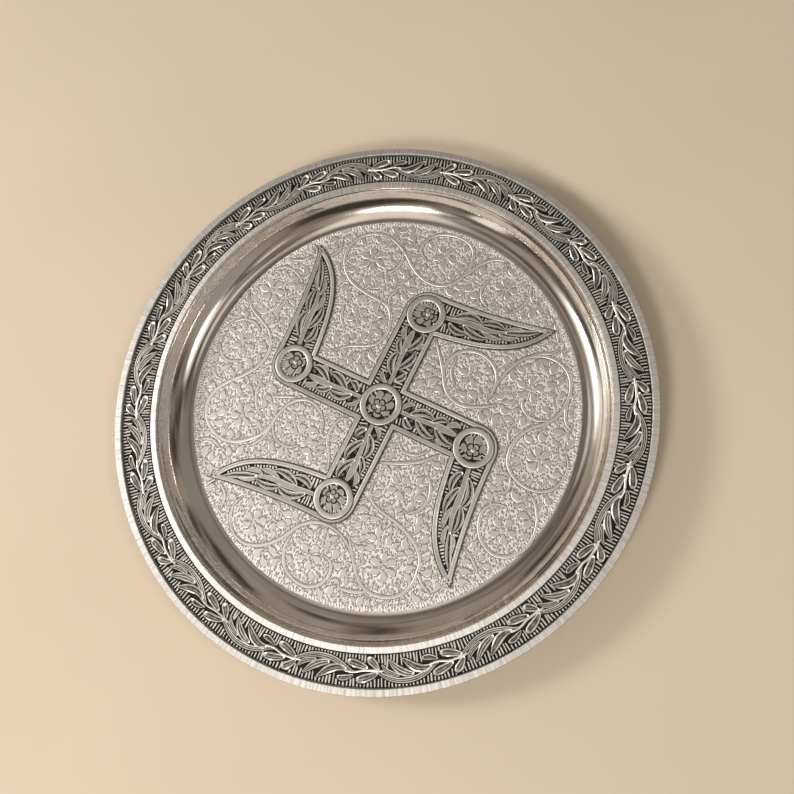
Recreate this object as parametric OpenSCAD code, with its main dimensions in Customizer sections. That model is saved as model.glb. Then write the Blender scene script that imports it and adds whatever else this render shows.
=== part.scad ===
// Puja thali, a round metal plate for worship. A spun dish carries everything: its lip is rolled over
// a wire, a chased vine ring and a plain bright ring lie on the lip, an embossed disc covers the floor,
// and a swastik plaque with five flower bosses is soldered to that disc.

/* [Dish] */
// Height from the table to the top of the rolled edge
overall_h = 18.5; // [17.5:0.5:22]
// Diameter of the flat floor inside the dish
floor_d = 208; // [200:1:260]
// Thickness of the spun sheet
sheet_t = 0.9; // [0.7:0.05:1.2]
// Inside radius of the cove between the floor and the wall
cove_r = 13.6; // [10:0.2:14]
// How far the wall leans out from upright, in degrees
wall_lean = 12; // [6:1:16]
// Slope of the lip above level, in degrees
lip_slope = 5; // [3:1:8]
// Inside radius of the bend from the wall to the lip
bend_r = 0.3; // [0.2:0.1:0.8]

/* [Rolled edge] */
// Diameter of the roll
roll_d = 3.6; // [3.2:0.1:4.2]
// Depth of the flat planished along the top of the roll
roll_flat = 0.25; // [0.1:0.05:0.35]
// Air between the wire and the sheet rolled round it
wire_gap = 0.05; // [0.02:0.01:0.1]

/* [Rings on the lip] */
// Width of the plain bright ring at the mouth of the well
band_w = 3.5; // [3:0.1:4.5]
// Thickness of the bright ring along its outer edge
band_t = 1.5; // [1.1:0.1:1.8]
// Thickness of the bright ring along the mouth of the well
band_thin_t = 0.5; // [0.4:0.1:0.8]
// Width of the vine ring
border_w = 14.6; // [14:0.1:16]
// Thickness of the vine ring below its relief
border_t = 0.6; // [0.4:0.1:0.8]
// Height of the vine above the ground of its ring
vine_relief = 0.6; // [0.3:0.1:0.7]
// Waves of the vine round the ring
vine_waves = 10; // [8:1:12]
// How far each wave bulges from the middle of the ring
vine_bulge = 4.2; // [3.2:0.1:4.6]
// Turn of the vine round the ring, in degrees
vine_turn = -2; // [-18:1:18]
// Width of the vine's stem
stem_w = 1.1; // [0.8:0.1:1.4]
// Length of a leaf lobe on the vine
lobe_l = 8; // [6:0.5:9]
// Width of a leaf lobe on the vine
lobe_w = 2.4; // [1.8:0.1:2.8]
// Length of a bud on the vine
bud_l = 6; // [5:0.5:6.5]
// Width of a bud on the vine
bud_w = 2.6; // [2:0.1:3]
// Radius of the curl beside each pair of buds
curl_r = 2; // [1.6:0.1:2.4]

/* [Floor disc] */
// Thickness of the embossed disc below its relief
disc_t = 0.5; // [0.4:0.1:0.8]
// Height of the scrolls above the ground of the disc
scroll_relief = 0.25; // [0.15:0.05:0.3]
// Width of a scroll's stem
scroll_w = 1.7; // [1.3:0.1:2]
// Radius of a petal in the scrolls
petal_r = 2.5; // [2:0.1:2.8]
// Radius of a round leaf in the scrolls
round_leaf_r = 1.9; // [1.4:0.1:2.2]
// Width of the plain margin round the disc
margin_w = 3; // [2:0.5:4]

/* [Swastik plaque] */
// Reach from the centre to the middle of a corner boss
arm_reach = 54; // [51:0.5:57]
// Radius of the rounded outer corner of an arm
corner_r = 12.7; // [12:0.1:13.3]
// Reach of an arm's inner edge from its middle line
arm_in = 9.4; // [8.8:0.1:9.8]
// Reach of a blade beyond the middle line of its arm
blade_reach = 67; // [60:0.5:70]
// Rise of a blade's tip above the top of its corner
blade_rise = 7; // [5:0.5:8.5]
// Thickness of the plaque's ground
plaque_t = 0.5; // [0.4:0.1:0.7]
// Width of the raised moulding round the plaque
moulding_w = 3; // [2.5:0.1:3.4]
// Height of the moulding above the plaque's ground
moulding_h = 0.8; // [0.6:0.1:1]
// Width of the low step along the outside of the moulding
step_w = 0.6; // [0.4:0.1:0.8]
// Height of the low step above the plaque's ground
step_h = 0.3; // [0.2:0.1:0.4]
// Height of the leaves above the plaque's ground
leaf_relief = 0.6; // [0.4:0.1:0.7]

/* [Bosses] */
// Radius of the boss at the centre
centre_boss_r = 11.2; // [10.6:0.1:11.4]
// Width of the ring round each boss
boss_ring_w = 2.4; // [2:0.1:2.8]
// Thickness of a boss below its relief
boss_t = 0.4; // [0.3:0.1:0.6]
// Height of the ring above the ground of the boss
boss_ring_h = 0.8; // [0.6:0.1:1]
// Height of the petals above the ground of the boss
boss_petal_h = 0.6; // [0.4:0.1:0.7]
// Rise of the round bead above the petals
bead_rise = 0.4; // [0.2:0.1:0.6]

/* [Fits] */
// Solder gap under the rings that lie on the sloping lip
seat_gap = 0.1; // [0.05:0.05:0.2]
// Gap round the edge of each piece that is let in
edge_gap = 0.15; // [0.1:0.05:0.25]

/* [Hidden] */
$fn = 96;

// The lip is a straight strip. It is as wide as its two rings, and its underside runs tangent into the
// roll, so its slope sets how high the mouth of the well is.
roll_r = roll_d / 2;
roll_c_h = overall_h + roll_flat - roll_r;
lip_w = 3 * edge_gap + band_w + border_w + roll_r;
lip_drop = (lip_w + (roll_r - sheet_t) * sin(lip_slope)) * tan(lip_slope);
mouth_h = roll_c_h - (roll_r - sheet_t) * cos(lip_slope) - lip_drop;
bend_far_r = bend_r + sheet_t;

// The wall is a straight strip that leaves the cove at its lean and ends at the mouth. The cove is a
// fillet, so it can be no larger than its wall leaves room for.
wall_u = [sin(wall_lean), cos(wall_lean)];
wall_out = [cos(wall_lean), -sin(wall_lean)];
cove_room = (mouth_h - bend_far_r - sheet_t) / (1 - sin(wall_lean));
cove_in_r = min(cove_r, cove_room);
cove_c = [floor_d / 2, sheet_t + cove_in_r];
wall_foot = cove_c + cove_in_r * wall_out;
mouth = meet(wall_foot, wall_u, [0, mouth_h], [1, 0]);
roll_c = [mouth.x + lip_w, roll_c_h];
wire_r = roll_r - sheet_t - wire_gap;
curl_end = 170;
lip_u = [cos(lip_slope), sin(lip_slope)];
lip_up = [-sin(lip_slope), cos(lip_slope)];
lip_under = roll_c - roll_r * lip_up;
lip_top = lip_under + sheet_t * lip_up;
overall_d = 2 * (roll_c.x + roll_r);
far = 2 * overall_d;
bend_c = meet(wall_foot + bend_far_r * wall_out, wall_u, lip_top - bend_far_r * lip_up, lip_u);
cove_steps = 16;
bend_steps = 6;
roll_steps = 24;

// The rings lie on the lip, between the mouth and the roll.
band_in = mouth.x + edge_gap;
band_out = band_in + band_w;
border_in = band_out + edge_gap;
border_out = border_in + border_w;
border_mid = (border_in + border_out) / 2;
border_ground = seat_gap + border_t;

// One wave of the vine is two half waves that bulge in and out.
half_turn = 180 / vine_waves;
arc_span_share = 0.72;
arc_chord = 2 * border_mid * sin(half_turn / 2) * arc_span_share;
arc_r = (pow(arc_chord / 2, 2) + pow(vine_bulge, 2)) / (2 * vine_bulge);
arc_half_angle = asin(arc_chord / 2 / arc_r);
wave_gap = 2 * border_mid * sin(half_turn / 2) - arc_chord;
// Each lobe: its place along the arc, from its middle, and its length
lobe_shares = [[0.5, 0.9], [0.1, 1], [-0.3, 0.75]];
lobe_angle = 50;
// Each bud: its root along the gap in bud lengths, and its angle
bud_root_shares = [[0.05, 132], [0.42, 106]];
curl_drop_share = 0.85;
link_w_share = 1.5;

// The floor disc and its scrolls.
disc_top = sheet_t + disc_t;
disc_r = floor_d / 2 - edge_gap;
// Each scroll: x, y and radius as shares of the disc, then the angle where its stem starts
scroll_place_shares = [
    [-0.84, -0.03, 0.132, 60], [-0.83, 0.31, 0.14, 250], [-0.40, 0.65, 0.15, 120],
    [-0.33, 0.35, 0.125, 330], [-0.36, -0.31, 0.105, 200], [-0.60, -0.31, 0.085, 20],
    [-0.78, -0.42, 0.11, 140], [-0.34, -0.83, 0.115, 40], [0.01, -0.845, 0.13, 110],
    [0.33, -0.77, 0.12, 250], [0.27, -0.28, 0.12, 90], [0.30, -0.53, 0.105, 300],
    [0.55, -0.72, 0.095, 170], [0.79, 0.06, 0.13, 230], [0.79, -0.28, 0.13, 50],
    [0.64, 0.39, 0.15, 330], [0.34, 0.31, 0.12, 150], [-0.08, 0.81, 0.14, 300],
    [0.28, 0.81, 0.12, 200], [0.55, 0.76, 0.08, 60], [-0.79, 0.54, 0.07, 90]];
scroll_sweep = 290;
scroll_petals = 5;
scroll_leaves = 7;
petal_share = 1.25;
leaf_ring_share = 0.68;

// The plaque lies on the disc, one arm four times.
plaque_top = disc_top + plaque_t;
arms = 4;
blade_root = arm_reach - arm_in;
blade_tip = [blade_reach, arm_reach + corner_r + blade_rise];
blade_top_r = (pow(blade_reach, 2) + pow(blade_rise, 2)) / (2 * blade_rise);
// The blade's inner edge, as a curve's four control points between its root and its tip
blade_curve_shares = [[0, 0], [0.42, 0.09], [0.83, 0.22], [1, 1]];
blade_steps = 14;
field_mid = (arm_in - corner_r) / 2;
arm_leaf_l = arm_reach / 5;
leaf_w = arm_in / 3;
leaf_angle = 28;
// The leaves start inside the bosses' seats, which trim their roots.
leaf_root_share = 0.8;
// Each leaf of an arm: place along the arm between the bosses and the side it turns to
arm_leaf_shares = [[0.14, 1], [0.14, -1], [0.36, 1], [0.36, -1], [0.58, 1], [0.58, -1]];
// Each leaf of a blade: place along the blade, height above the boss, turn and length
blade_leaf_shares = [[0.16, 0.03, 32, 1], [0.2, 0.02, -30, 1], [0.36, 0.1, 30, 0.9],
    [0.4, 0.08, -26, 1], [0.54, 0.17, -14, 0.8]];
// The long leaf that runs to the blade's tip: its root and its point
long_leaf_shares = [[0.44, 0.09], [0.9, 0.66]];

// The bosses.
corner_boss_r = corner_r - moulding_w - edge_gap;
petals = 5;
bead_share = 0.2;
petal_size_share = 0.33;
petal_ring_share = 0.58;
vein_share = 0.06;

// Where the line through p along u meets the line through q along v.
function meet(p, u, q, v) = p + u * cross(q - p, v) / cross(u, v);

function along(a) = [cos(a), sin(a)];

// Points on an arc round c, from angle a to angle b.
function arc(c, r, a, b, steps) = [for (i = [0:steps]) c + r * along(a + (b - a) * i / steps)];

// A point on a curve with four control points, and the direction of the curve there.
function curve(c, t) = pow(1 - t, 3) * c[0] + 3 * pow(1 - t, 2) * t * c[1]
    + 3 * (1 - t) * pow(t, 2) * c[2] + pow(t, 3) * c[3];
function curve_way(c, t) = pow(1 - t, 2) * (c[1] - c[0]) + 2 * (1 - t) * t * (c[2] - c[1])
    + pow(t, 2) * (c[3] - c[2]);
function left_of(v) = [-v.y, v.x] / norm(v);

// A pie slice from angle a to angle b, under half a turn.
module slice(a, b) {
    polygon([[0, 0], far * along(a), far * along((a + b) / 2), far * along(b)]);
}

module washer(inner_r, outer_r) {
    difference() {
        circle(r = outer_r);
        circle(r = inner_r);
    }
}

// Part of a washer round c, from angle a to angle b.
module arc_strip(c, inner_r, outer_r, a, b) {
    translate(c)
        intersection() {
            washer(inner_r, outer_r);
            slice(a, b);
        }
}

// A pointed leaf from the origin along +X.
module leaf(l, w) {
    r = (pow(l, 2) + pow(w, 2)) / (4 * w);
    intersection() {
        translate([l / 2, r - w / 2])
            circle(r = r);
        translate([l / 2, w / 2 - r])
            circle(r = r);
    }
}

// A layer on the lip's top face, between two radii and two heights above that face.
module lip_layer(inner, outer, low, high) {
    a = meet(lip_top, lip_u, [inner, 0], [0, 1]);
    b = meet(lip_top, lip_u, [outer, 0], [0, 1]);
    rotate_extrude()
        polygon([a + [0, low], b + [0, low], b + [0, high], a + [0, high]]);
}

// The sheet's outline: its underside outwards, round the roll, and back along its top face.
module dish_profile() {
    roll = arc(roll_c, roll_r, lip_slope - 90, curl_end, roll_steps);
    polygon(concat(
        [[0, 0]],
        arc(cove_c, cove_in_r + sheet_t, -90, -wall_lean, cove_steps),
        arc(bend_c, bend_r, 180 - wall_lean, 90 + lip_slope, bend_steps),
        [for (p = roll) [p.x, min(p.y, overall_h)]],
        arc(roll_c, wire_r + wire_gap, curl_end, lip_slope - 90, roll_steps),
        arc(bend_c, bend_far_r, 90 + lip_slope, 180 - wall_lean, bend_steps),
        arc(cove_c, cove_in_r, -wall_lean, -90, cove_steps),
        [[0, sheet_t]]));
}

module dish() {
    color("lightgray")
        rotate_extrude()
            dish_profile();
}

module edge_wire() {
    color("gray")
        rotate_extrude()
            translate(roll_c)
                circle(r = wire_r);
}

// One half wave that grows along -X and bulges along +Y: the stem's arc, and its lobes on the hollow
// side, which together are half an acanthus leaf.
module half_wave() {
    arc_c = [0, vine_bulge / 2 - arc_r];
    arc_strip(arc_c, arc_r - stem_w / 2, arc_r + stem_w / 2, 90 - arc_half_angle, 90 + arc_half_angle);
    for (s = lobe_shares)
        translate(arc_c + arc_r * along(90 - s[0] * arc_half_angle))
            rotate(180 + lobe_angle - s[0] * arc_half_angle)
                leaf(lobe_l * s[1], lobe_w);
}

// The gap before a half wave: the stem crosses it, with two buds on one side and a curl on the other.
module buds() {
    link = [wave_gap, vine_bulge];
    translate(-link / 2)
        rotate(atan2(link.y, link.x))
            leaf(norm(link), stem_w * link_w_share);
    for (s = bud_root_shares)
        translate([s[0] * bud_l, 0])
            rotate(s[1])
                leaf(bud_l, bud_w);
    translate([0, -curl_r * curl_drop_share])
        washer(curl_r - stem_w, curl_r);
}

module vine() {
    for (i = [0:2 * vine_waves - 1])
        rotate(vine_turn + i * half_turn) {
            translate([0, border_mid])
                mirror([0, i % 2])
                    half_wave();
            rotate(-half_turn / 2)
                translate([0, border_mid])
                    mirror([0, i % 2])
                        buds();
        }
}

module vine_border() {
    color("dimgray") {
        lip_layer(border_in, border_out, seat_gap, border_ground);
        intersection() {
            linear_extrude(overall_h)
                vine();
            lip_layer(border_in, border_out, border_ground - seat_gap, border_ground + vine_relief);
        }
    }
}

module bright_band() {
    a = meet(lip_top, lip_u, [band_in, 0], [0, 1]);
    b = meet(lip_top, lip_u, [band_out, 0], [0, 1]);
    color("gainsboro")
        rotate_extrude()
            polygon([a + [0, seat_gap], b + [0, seat_gap], b + [0, band_t], a + [0, band_thin_t]]);
}

// A C-shaped stem with a flower in its middle and round leaves inside its curve.
module scroll(r, start) {
    arc_strip([0, 0], r - scroll_w, r, start, start + scroll_sweep / 2);
    arc_strip([0, 0], r - scroll_w, r, start + scroll_sweep / 2, start + scroll_sweep);
    for (i = [1:scroll_petals])
        rotate(start + i * 360 / scroll_petals)
            translate([petal_r * petal_share, 0])
                circle(r = petal_r);
    for (i = [1:scroll_leaves])
        rotate(start + i * scroll_sweep / scroll_leaves)
            translate([max(r * leaf_ring_share, petal_r * petal_share), 0])
                circle(r = round_leaf_r);
}

module scrolls() {
    intersection() {
        circle(r = disc_r - margin_w);
        union()
            for (s = scroll_place_shares)
                translate(disc_r * [s[0], s[1]])
                    scroll(disc_r * s[2], s[3]);
    }
}

module floor_disc() {
    color("silver")
        translate([0, 0, sheet_t]) {
            cylinder(r = disc_r, h = disc_t);
            linear_extrude(disc_t + scroll_relief)
                difference() {
                    scrolls();
                    plaque_outline(-edge_gap);
                }
        }
}

// The curved part of an arm. The edge is drawn in by inset on every side.
module blade_outline(inset) {
    root = [arm_in, blade_root];
    reach = blade_tip - root;
    c = [for (s = blade_curve_shares) root + [s[0] * reach.x, s[1] * reach.y]];
    edge = [for (i = [0:blade_steps]) let (t = i / blade_steps)
        curve(c, t) + inset * left_of(curve_way(c, t))];
    difference() {
        polygon(concat([[0, edge[0].y]], edge, [[0, edge[blade_steps].y]]));
        translate([0, arm_reach + corner_r + blade_top_r])
            circle(r = blade_top_r + inset);
    }
}

module plaque_outline(inset) {
    for (i = [1:arms])
        rotate(i * 360 / arms) {
            translate([inset - corner_r, 0])
                square([corner_r + arm_in - 2 * inset, arm_reach]);
            translate([0, arm_reach])
                circle(r = corner_r - inset);
            blade_outline(inset);
        }
}

// The leaf sprays of one arm: up the arm, then along the blade to its tip.
module arm_leaves() {
    first = centre_boss_r * leaf_root_share;
    length = arm_reach - corner_boss_r * leaf_root_share - first;
    translate([field_mid, first])
        rotate(90)
            leaf(length, leaf_w);
    for (s = arm_leaf_shares)
        translate([field_mid, first + s[0] * length])
            rotate(90 - s[1] * leaf_angle)
                leaf(arm_leaf_l, leaf_w);
    boss_edge = [corner_boss_r * leaf_root_share, arm_reach];
    reach = blade_tip - boss_edge;
    translate(boss_edge)
        rotate(atan(reach.y / reach.x) / 2)
            leaf(reach.x / 2, leaf_w);
    for (s = blade_leaf_shares)
        translate(boss_edge + [s[0] * reach.x - arm_leaf_l / 2, s[1] * reach.y])
            rotate(s[2])
                leaf(arm_leaf_l * s[3], leaf_w);
    long_root = boss_edge + [long_leaf_shares[0].x * reach.x, long_leaf_shares[0].y * reach.y];
    long_tip = boss_edge + [long_leaf_shares[1].x * reach.x, long_leaf_shares[1].y * reach.y];
    translate(long_root)
        rotate(atan2(long_tip.y - long_root.y, long_tip.x - long_root.x))
            leaf(norm(long_tip - long_root), leaf_w);
}

module swastik_plaque() {
    color("dimgray")
        translate([0, 0, disc_top])
            difference() {
                union() {
                    linear_extrude(plaque_t)
                        plaque_outline(0);
                    linear_extrude(plaque_t + step_h)
                        difference() {
                            plaque_outline(0);
                            plaque_outline(moulding_w);
                        }
                    linear_extrude(plaque_t + moulding_h)
                        difference() {
                            plaque_outline(step_w);
                            plaque_outline(moulding_w);
                        }
                    linear_extrude(plaque_t + leaf_relief)
                        for (i = [1:arms])
                            rotate(i * 360 / arms)
                                arm_leaves();
                }
                // Round seats for the bosses, down to the plaque's ground.
                translate([0, 0, plaque_t])
                    boss_places()
                        cylinder(r = corner_boss_r + edge_gap, h = overall_h);
                translate([0, 0, plaque_t])
                    cylinder(r = centre_boss_r + edge_gap, h = overall_h);
            }
}

module boss_places() {
    for (i = [1:arms])
        rotate(i * 360 / arms)
            translate([0, arm_reach])
                children();
}

// A ring round a five-petalled flower with a round bead in its middle.
module boss(r) {
    inner = r - boss_ring_w;
    bead_r = inner * bead_share;
    dome_r = (pow(bead_r, 2) + pow(bead_rise, 2)) / (2 * bead_rise);
    color("darkgray")
        translate([0, 0, plaque_top]) {
            cylinder(r = r, h = boss_t);
            linear_extrude(boss_t + boss_ring_h)
                washer(inner, r);
            linear_extrude(boss_t + boss_petal_h)
                for (i = [1:petals])
                    rotate(i * 360 / petals)
                        difference() {
                            translate([inner * petal_ring_share, 0])
                                circle(r = inner * petal_size_share);
                            translate([0, -inner * vein_share / 2])
                                square([inner * petal_ring_share, inner * vein_share]);
                        }
            // The bead is a cylinder with a domed top.
            intersection() {
                translate([0, 0, boss_t + boss_petal_h + bead_rise - dome_r])
                    sphere(r = dome_r);
                cylinder(r = bead_r, h = boss_t + boss_petal_h + bead_rise);
            }
        }
}

// A corner boss at the end of the arm that is turned by a.
module corner_boss(a) {
    rotate(a)
        translate([0, arm_reach])
            boss(corner_boss_r);
}

module centre_boss() {
    boss(centre_boss_r);
}

module top_boss() {
    corner_boss(0);
}

module right_boss() {
    corner_boss(-90);
}

module bottom_boss() {
    corner_boss(180);
}

module left_boss() {
    corner_boss(90);
}

dish();
edge_wire();
vine_border();
bright_band();
floor_disc();
swastik_plaque();
centre_boss();
top_boss();
right_boss();
bottom_boss();
left_boss();
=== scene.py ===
import random
from math import cos, hypot, pi, radians, sin, tan

import bpy
import numpy as np
from mathutils import Euler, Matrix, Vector
from mathutils.kdtree import KDTree


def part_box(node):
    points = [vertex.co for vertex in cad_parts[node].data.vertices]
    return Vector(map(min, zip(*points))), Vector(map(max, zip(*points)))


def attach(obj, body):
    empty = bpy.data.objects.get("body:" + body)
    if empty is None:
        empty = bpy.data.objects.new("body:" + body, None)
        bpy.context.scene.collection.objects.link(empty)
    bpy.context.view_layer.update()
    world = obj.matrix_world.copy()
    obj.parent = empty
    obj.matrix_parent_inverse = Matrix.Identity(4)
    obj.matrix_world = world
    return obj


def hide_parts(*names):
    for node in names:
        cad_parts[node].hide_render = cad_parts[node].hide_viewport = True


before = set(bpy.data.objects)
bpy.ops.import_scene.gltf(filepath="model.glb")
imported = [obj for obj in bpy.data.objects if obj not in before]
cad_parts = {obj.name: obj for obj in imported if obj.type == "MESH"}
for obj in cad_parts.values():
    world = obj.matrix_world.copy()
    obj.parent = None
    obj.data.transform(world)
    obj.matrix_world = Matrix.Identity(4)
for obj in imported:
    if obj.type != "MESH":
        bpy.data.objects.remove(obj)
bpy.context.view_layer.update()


# The dish
# One disc of white metal, spun over a former into a flat floor, a coved wall and a sloping lip. Its edge
# is rolled over a wire, hammered flat on top and cut across, and the well is polished like a mirror.

mm = 0.001
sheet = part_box("floor_disc")[0].z
rim_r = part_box("dish")[1].x
rim_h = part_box("dish")[1].z
roll_r = 1.8 * mm
roll_flat = 0.25 * mm
roll_c = np.array([rim_r - roll_r, rim_h + roll_flat - roll_r])
roll_squareness = 0.5
curl_end = 170
floor_r = 104 * mm
cove_r = 13.6 * mm
wall_lean = 12
lip_slope = 5
bend_r = 0.3 * mm
rise = tan(radians(lip_slope))


def along(degrees):
    return np.array([cos(radians(degrees)), sin(radians(degrees))])


def arc(centre, radius, start, end, steps):
    """Points on an arc, from one angle in degrees to another."""
    return [centre + radius * along(a) for a in np.linspace(start, end, steps + 1)]


wall_way = along(90 - wall_lean)
lip_way = along(lip_slope)
lip_up = along(lip_slope + 90)
cove_c = np.array([floor_r, sheet + cove_r])
wall_foot = cove_c + cove_r * along(-wall_lean)
lip_top = roll_c - (roll_r - sheet) * lip_up


def meet(p, u, q, v):
    """Where the line through p along u meets the line through q along v."""
    d = q - p
    return p + u * (d[0] * v[1] - d[1] * v[0]) / (u[0] * v[1] - u[1] * v[0])


mouth = meet(wall_foot, wall_way, lip_top, lip_way)
far_bend_r = bend_r + sheet
bend_c = meet(wall_foot + far_bend_r * along(-wall_lean), wall_way, lip_top - far_bend_r * lip_up, lip_way)


def lip_height(r):
    """Height of the lip's top face at a radius."""
    return mouth[1] + (r - mouth[0]) * rise


def roll_point(degrees):
    """A point on the roll, a little squarer than round and hammered flat on top."""
    c, s = along(degrees)
    x = np.sign(c) * abs(c) ** roll_squareness
    y = np.sign(s) * abs(s) ** roll_squareness
    p = roll_c + roll_r * np.array([x, y])
    return np.array([p[0], min(p[1], rim_h)])


def new_object(name, data):
    """An object for a mesh, a lamp or a camera, put in the scene."""
    made = bpy.data.objects.new(name, data)
    bpy.context.scene.collection.objects.link(made)
    return made


def mesh_object(name, verts, faces, materials, picks=None, sharp=40):
    """An object from points and faces, shaded smooth but for edges sharper than an angle in degrees."""
    mesh = bpy.data.meshes.new(name)
    mesh.from_pydata([tuple(v) for v in verts], [], [tuple(int(i) for i in f) for f in faces])
    for material in materials:
        mesh.materials.append(material)
    if picks is not None:
        mesh.polygons.foreach_set("material_index", picks)
    mesh.shade_smooth()
    mesh.set_sharp_from_angle(angle=radians(sharp))
    return new_object(name, mesh)


def turned(name, profile, steps, materials, zones=None, closed=False, cuts=None, sharp=40):
    """A surface turned about Z. zones gives each stretch of the profile its material, and cuts gives
    each point of the profile the most that the marks of the graver lower it."""
    draws = random.Random(7)
    angles = np.arange(steps) * 2 * pi / steps
    verts, rings = [], []
    for k, (r, z) in enumerate(profile):
        if r == 0:
            rings.append([len(verts)] * steps)
            verts.append((0, 0, z))
            continue
        rings.append(list(range(len(verts), len(verts) + steps)))
        depth = cuts[k] if cuts is not None else 0
        for j, a in enumerate(angles):
            draws.seed(j)
            verts.append((r * cos(a), r * sin(a), z + depth * draws.uniform(-1, 0)))
    faces, picks = [], []
    for k in range(len(profile) if closed else len(profile) - 1):
        a, b = rings[k], rings[(k + 1) % len(profile)]
        for j in range(steps):
            n = (j + 1) % steps
            corners = [a[j], a[n], b[n], b[j]]
            faces.append(list(dict.fromkeys(corners)))
            picks.append(zones[k] if zones else 0)
    return mesh_object(name, verts, faces, materials, picks, sharp)


def row_faces(rows, n):
    """Faces between closed rows of n points that follow each other."""
    return [(k * n + i, k * n + (i + 1) % n, (k + 1) * n + (i + 1) % n, (k + 1) * n + i)
            for k in range(rows - 1) for i in range(n)]


def feed(tree, socket, value):
    """Sets an input to a value, or links a node or a socket to it."""
    if isinstance(value, bpy.types.Node):
        value = value.outputs[0]
    if isinstance(value, bpy.types.NodeSocket):
        tree.links.new(value, socket)
    else:
        socket.default_value = value


def node(tree, kind, inputs=None, **settings):
    """A new node, with what its inputs are fed, by name or number."""
    made = tree.nodes.new(kind)
    for key, value in settings.items():
        setattr(made, key, value)
    for key, value in (inputs or {}).items():
        feed(tree, made.inputs[key], value)
    return made


def maths(tree, operation, *values):
    return node(tree, "ShaderNodeMath", dict(enumerate(values)), operation=operation)


def vectors(tree, operation, *values):
    return node(tree, "ShaderNodeVectorMath", dict(enumerate(values)), operation=operation)


def scaled(tree, vector, times):
    return node(tree, "ShaderNodeVectorMath", {0: vector, "Scale": times}, operation="SCALE")


def upright(tree, z):
    return node(tree, "ShaderNodeCombineXYZ", {2: z})


def height_of(tree, place):
    return node(tree, "ShaderNodeSeparateXYZ", {0: place}).outputs[2]


def mixed(tree, share, a, b):
    """A colour between two colours."""
    return node(tree, "ShaderNodeMix", {0: share, 6: a, 7: b}, data_type="RGBA").outputs[2]


def spread(tree, value, low, high, to_low=0, to_high=1):
    """A value's range stretched over another range, and kept inside it."""
    return node(tree, "ShaderNodeMapRange", {0: value, 1: low, 2: high, 3: to_low, 4: to_high})


def new_material(name, metallic=1):
    """A material, its tree and its place on the object. It is metal unless metallic is 0."""
    material = bpy.data.materials.new(name)
    material.use_nodes = True
    tree = material.node_tree
    tree.nodes["Principled BSDF"].inputs["Metallic"].default_value = metallic
    return material, tree, node(tree, "ShaderNodeTexCoord").outputs["Object"]


def dress(tree, colour, rough, normal=None):
    """Feeds a material's shader its colour, its roughness and its bump."""
    sockets = tree.nodes["Principled BSDF"].inputs
    feed(tree, sockets["Base Color"], colour)
    feed(tree, sockets["Roughness"], rough)
    if normal is not None:
        feed(tree, sockets["Normal"], normal)


def noise(tree, place, scale, detail=2.0, rough=0.5):
    inputs = {"Vector": place, "Scale": scale, "Detail": detail, "Roughness": rough}
    return node(tree, "ShaderNodeTexNoise", inputs)


def radius_of(tree, place):
    """Distance from the axis of the plate."""
    sides = node(tree, "ShaderNodeSeparateXYZ", {0: place}).outputs[:2]
    return maths(tree, "SQRT", maths(tree, "ADD", *[maths(tree, "MULTIPLY", side, side) for side in sides]))


def around(tree, place, turns, across):
    """A place that runs fast round the plate and slowly across it, for marks that lie across a band."""
    way = vectors(tree, "NORMALIZE", vectors(tree, "MULTIPLY", place, (1, 1, 0)))
    slow = upright(tree, maths(tree, "MULTIPLY", radius_of(tree, place), across))
    return vectors(tree, "ADD", scaled(tree, way, turns), slow)


def lathe_rings(tree, place, scale, detail, rough=0.5):
    """Noise that changes along the profile and not round it, as the marks of a lathe do."""
    profile = node(tree, "ShaderNodeCombineXYZ", {0: radius_of(tree, place), 1: height_of(tree, place)})
    return noise(tree, profile, scale, detail, rough)


def bump(tree, height, strength, distance, under=None):
    """A bump, laid over another where one is given."""
    inputs = {"Strength": strength, "Distance": distance, "Height": height}
    if under is not None:
        inputs["Normal"] = under
    return node(tree, "ShaderNodeBump", inputs)


def mirror_finish():
    """Buffed white metal: a mirror with faint spinning rings, soft clouds and fine wiping scratches."""
    material, tree, place = new_material("mirror_polish")
    clouds = noise(tree, place, 28, 3)
    wipes = noise(tree, around(tree, place, 14, 1600), 1, 3, 0.7)
    tint = mixed(tree, spread(tree, clouds, 0.35, 0.7), (0.80, 0.765, 0.715, 1), (0.69, 0.625, 0.54, 1))
    wear = maths(tree, "ADD", spread(tree, clouds, 0.3, 0.75, 0.09, 0.15),
                 spread(tree, wipes, 0.5, 0.8, 0, 0.06))
    waves = bump(tree, noise(tree, place, 60, 1), 0.25, 0.15 * mm)
    dress(tree, tint, wear, bump(tree, lathe_rings(tree, place, 900, 2), 0.22, 0.02 * mm, waves))
    return material


def satin_finish():
    """The underside as it left the spinning lathe, with its tool rings and some handling marks."""
    material, tree, place = new_material("spun_satin")
    rings = lathe_rings(tree, place, 1400, 3, 0.6)
    stains = noise(tree, place, 22, 5, 0.6)
    tint = mixed(tree, spread(tree, stains, 0.4, 0.7), (0.66, 0.64, 0.61, 1), (0.46, 0.43, 0.39, 1))
    dress(tree, tint, spread(tree, rings, 0.3, 0.7, 0.26, 0.42), bump(tree, rings, 0.35, 0.05 * mm))
    return material


def cut_finish(name, low, high, bright, dull):
    """Bright metal cut across with a graver: close marks that each catch the light their own way. low and
    high are the bounds of its roughness."""
    material, tree, place = new_material(name)
    marks = noise(tree, around(tree, place, 130, 40), 1, 2, 0.7)
    strokes = noise(tree, around(tree, place, 420, 120), 1, 1)
    both = maths(tree, "ADD", marks, maths(tree, "MULTIPLY", strokes, 0.35))
    dress(tree, mixed(tree, spread(tree, marks, 0.35, 0.68), bright, dull),
          spread(tree, marks, 0.3, 0.7, low, high), bump(tree, both, 1.0, 0.09 * mm))
    return material


mirror_polish = mirror_finish()
spun_satin = satin_finish()
bright_cut = cut_finish("bright_cut", 0.4, 0.54, (0.74, 0.72, 0.70, 1), (0.48, 0.465, 0.445, 1))

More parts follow.
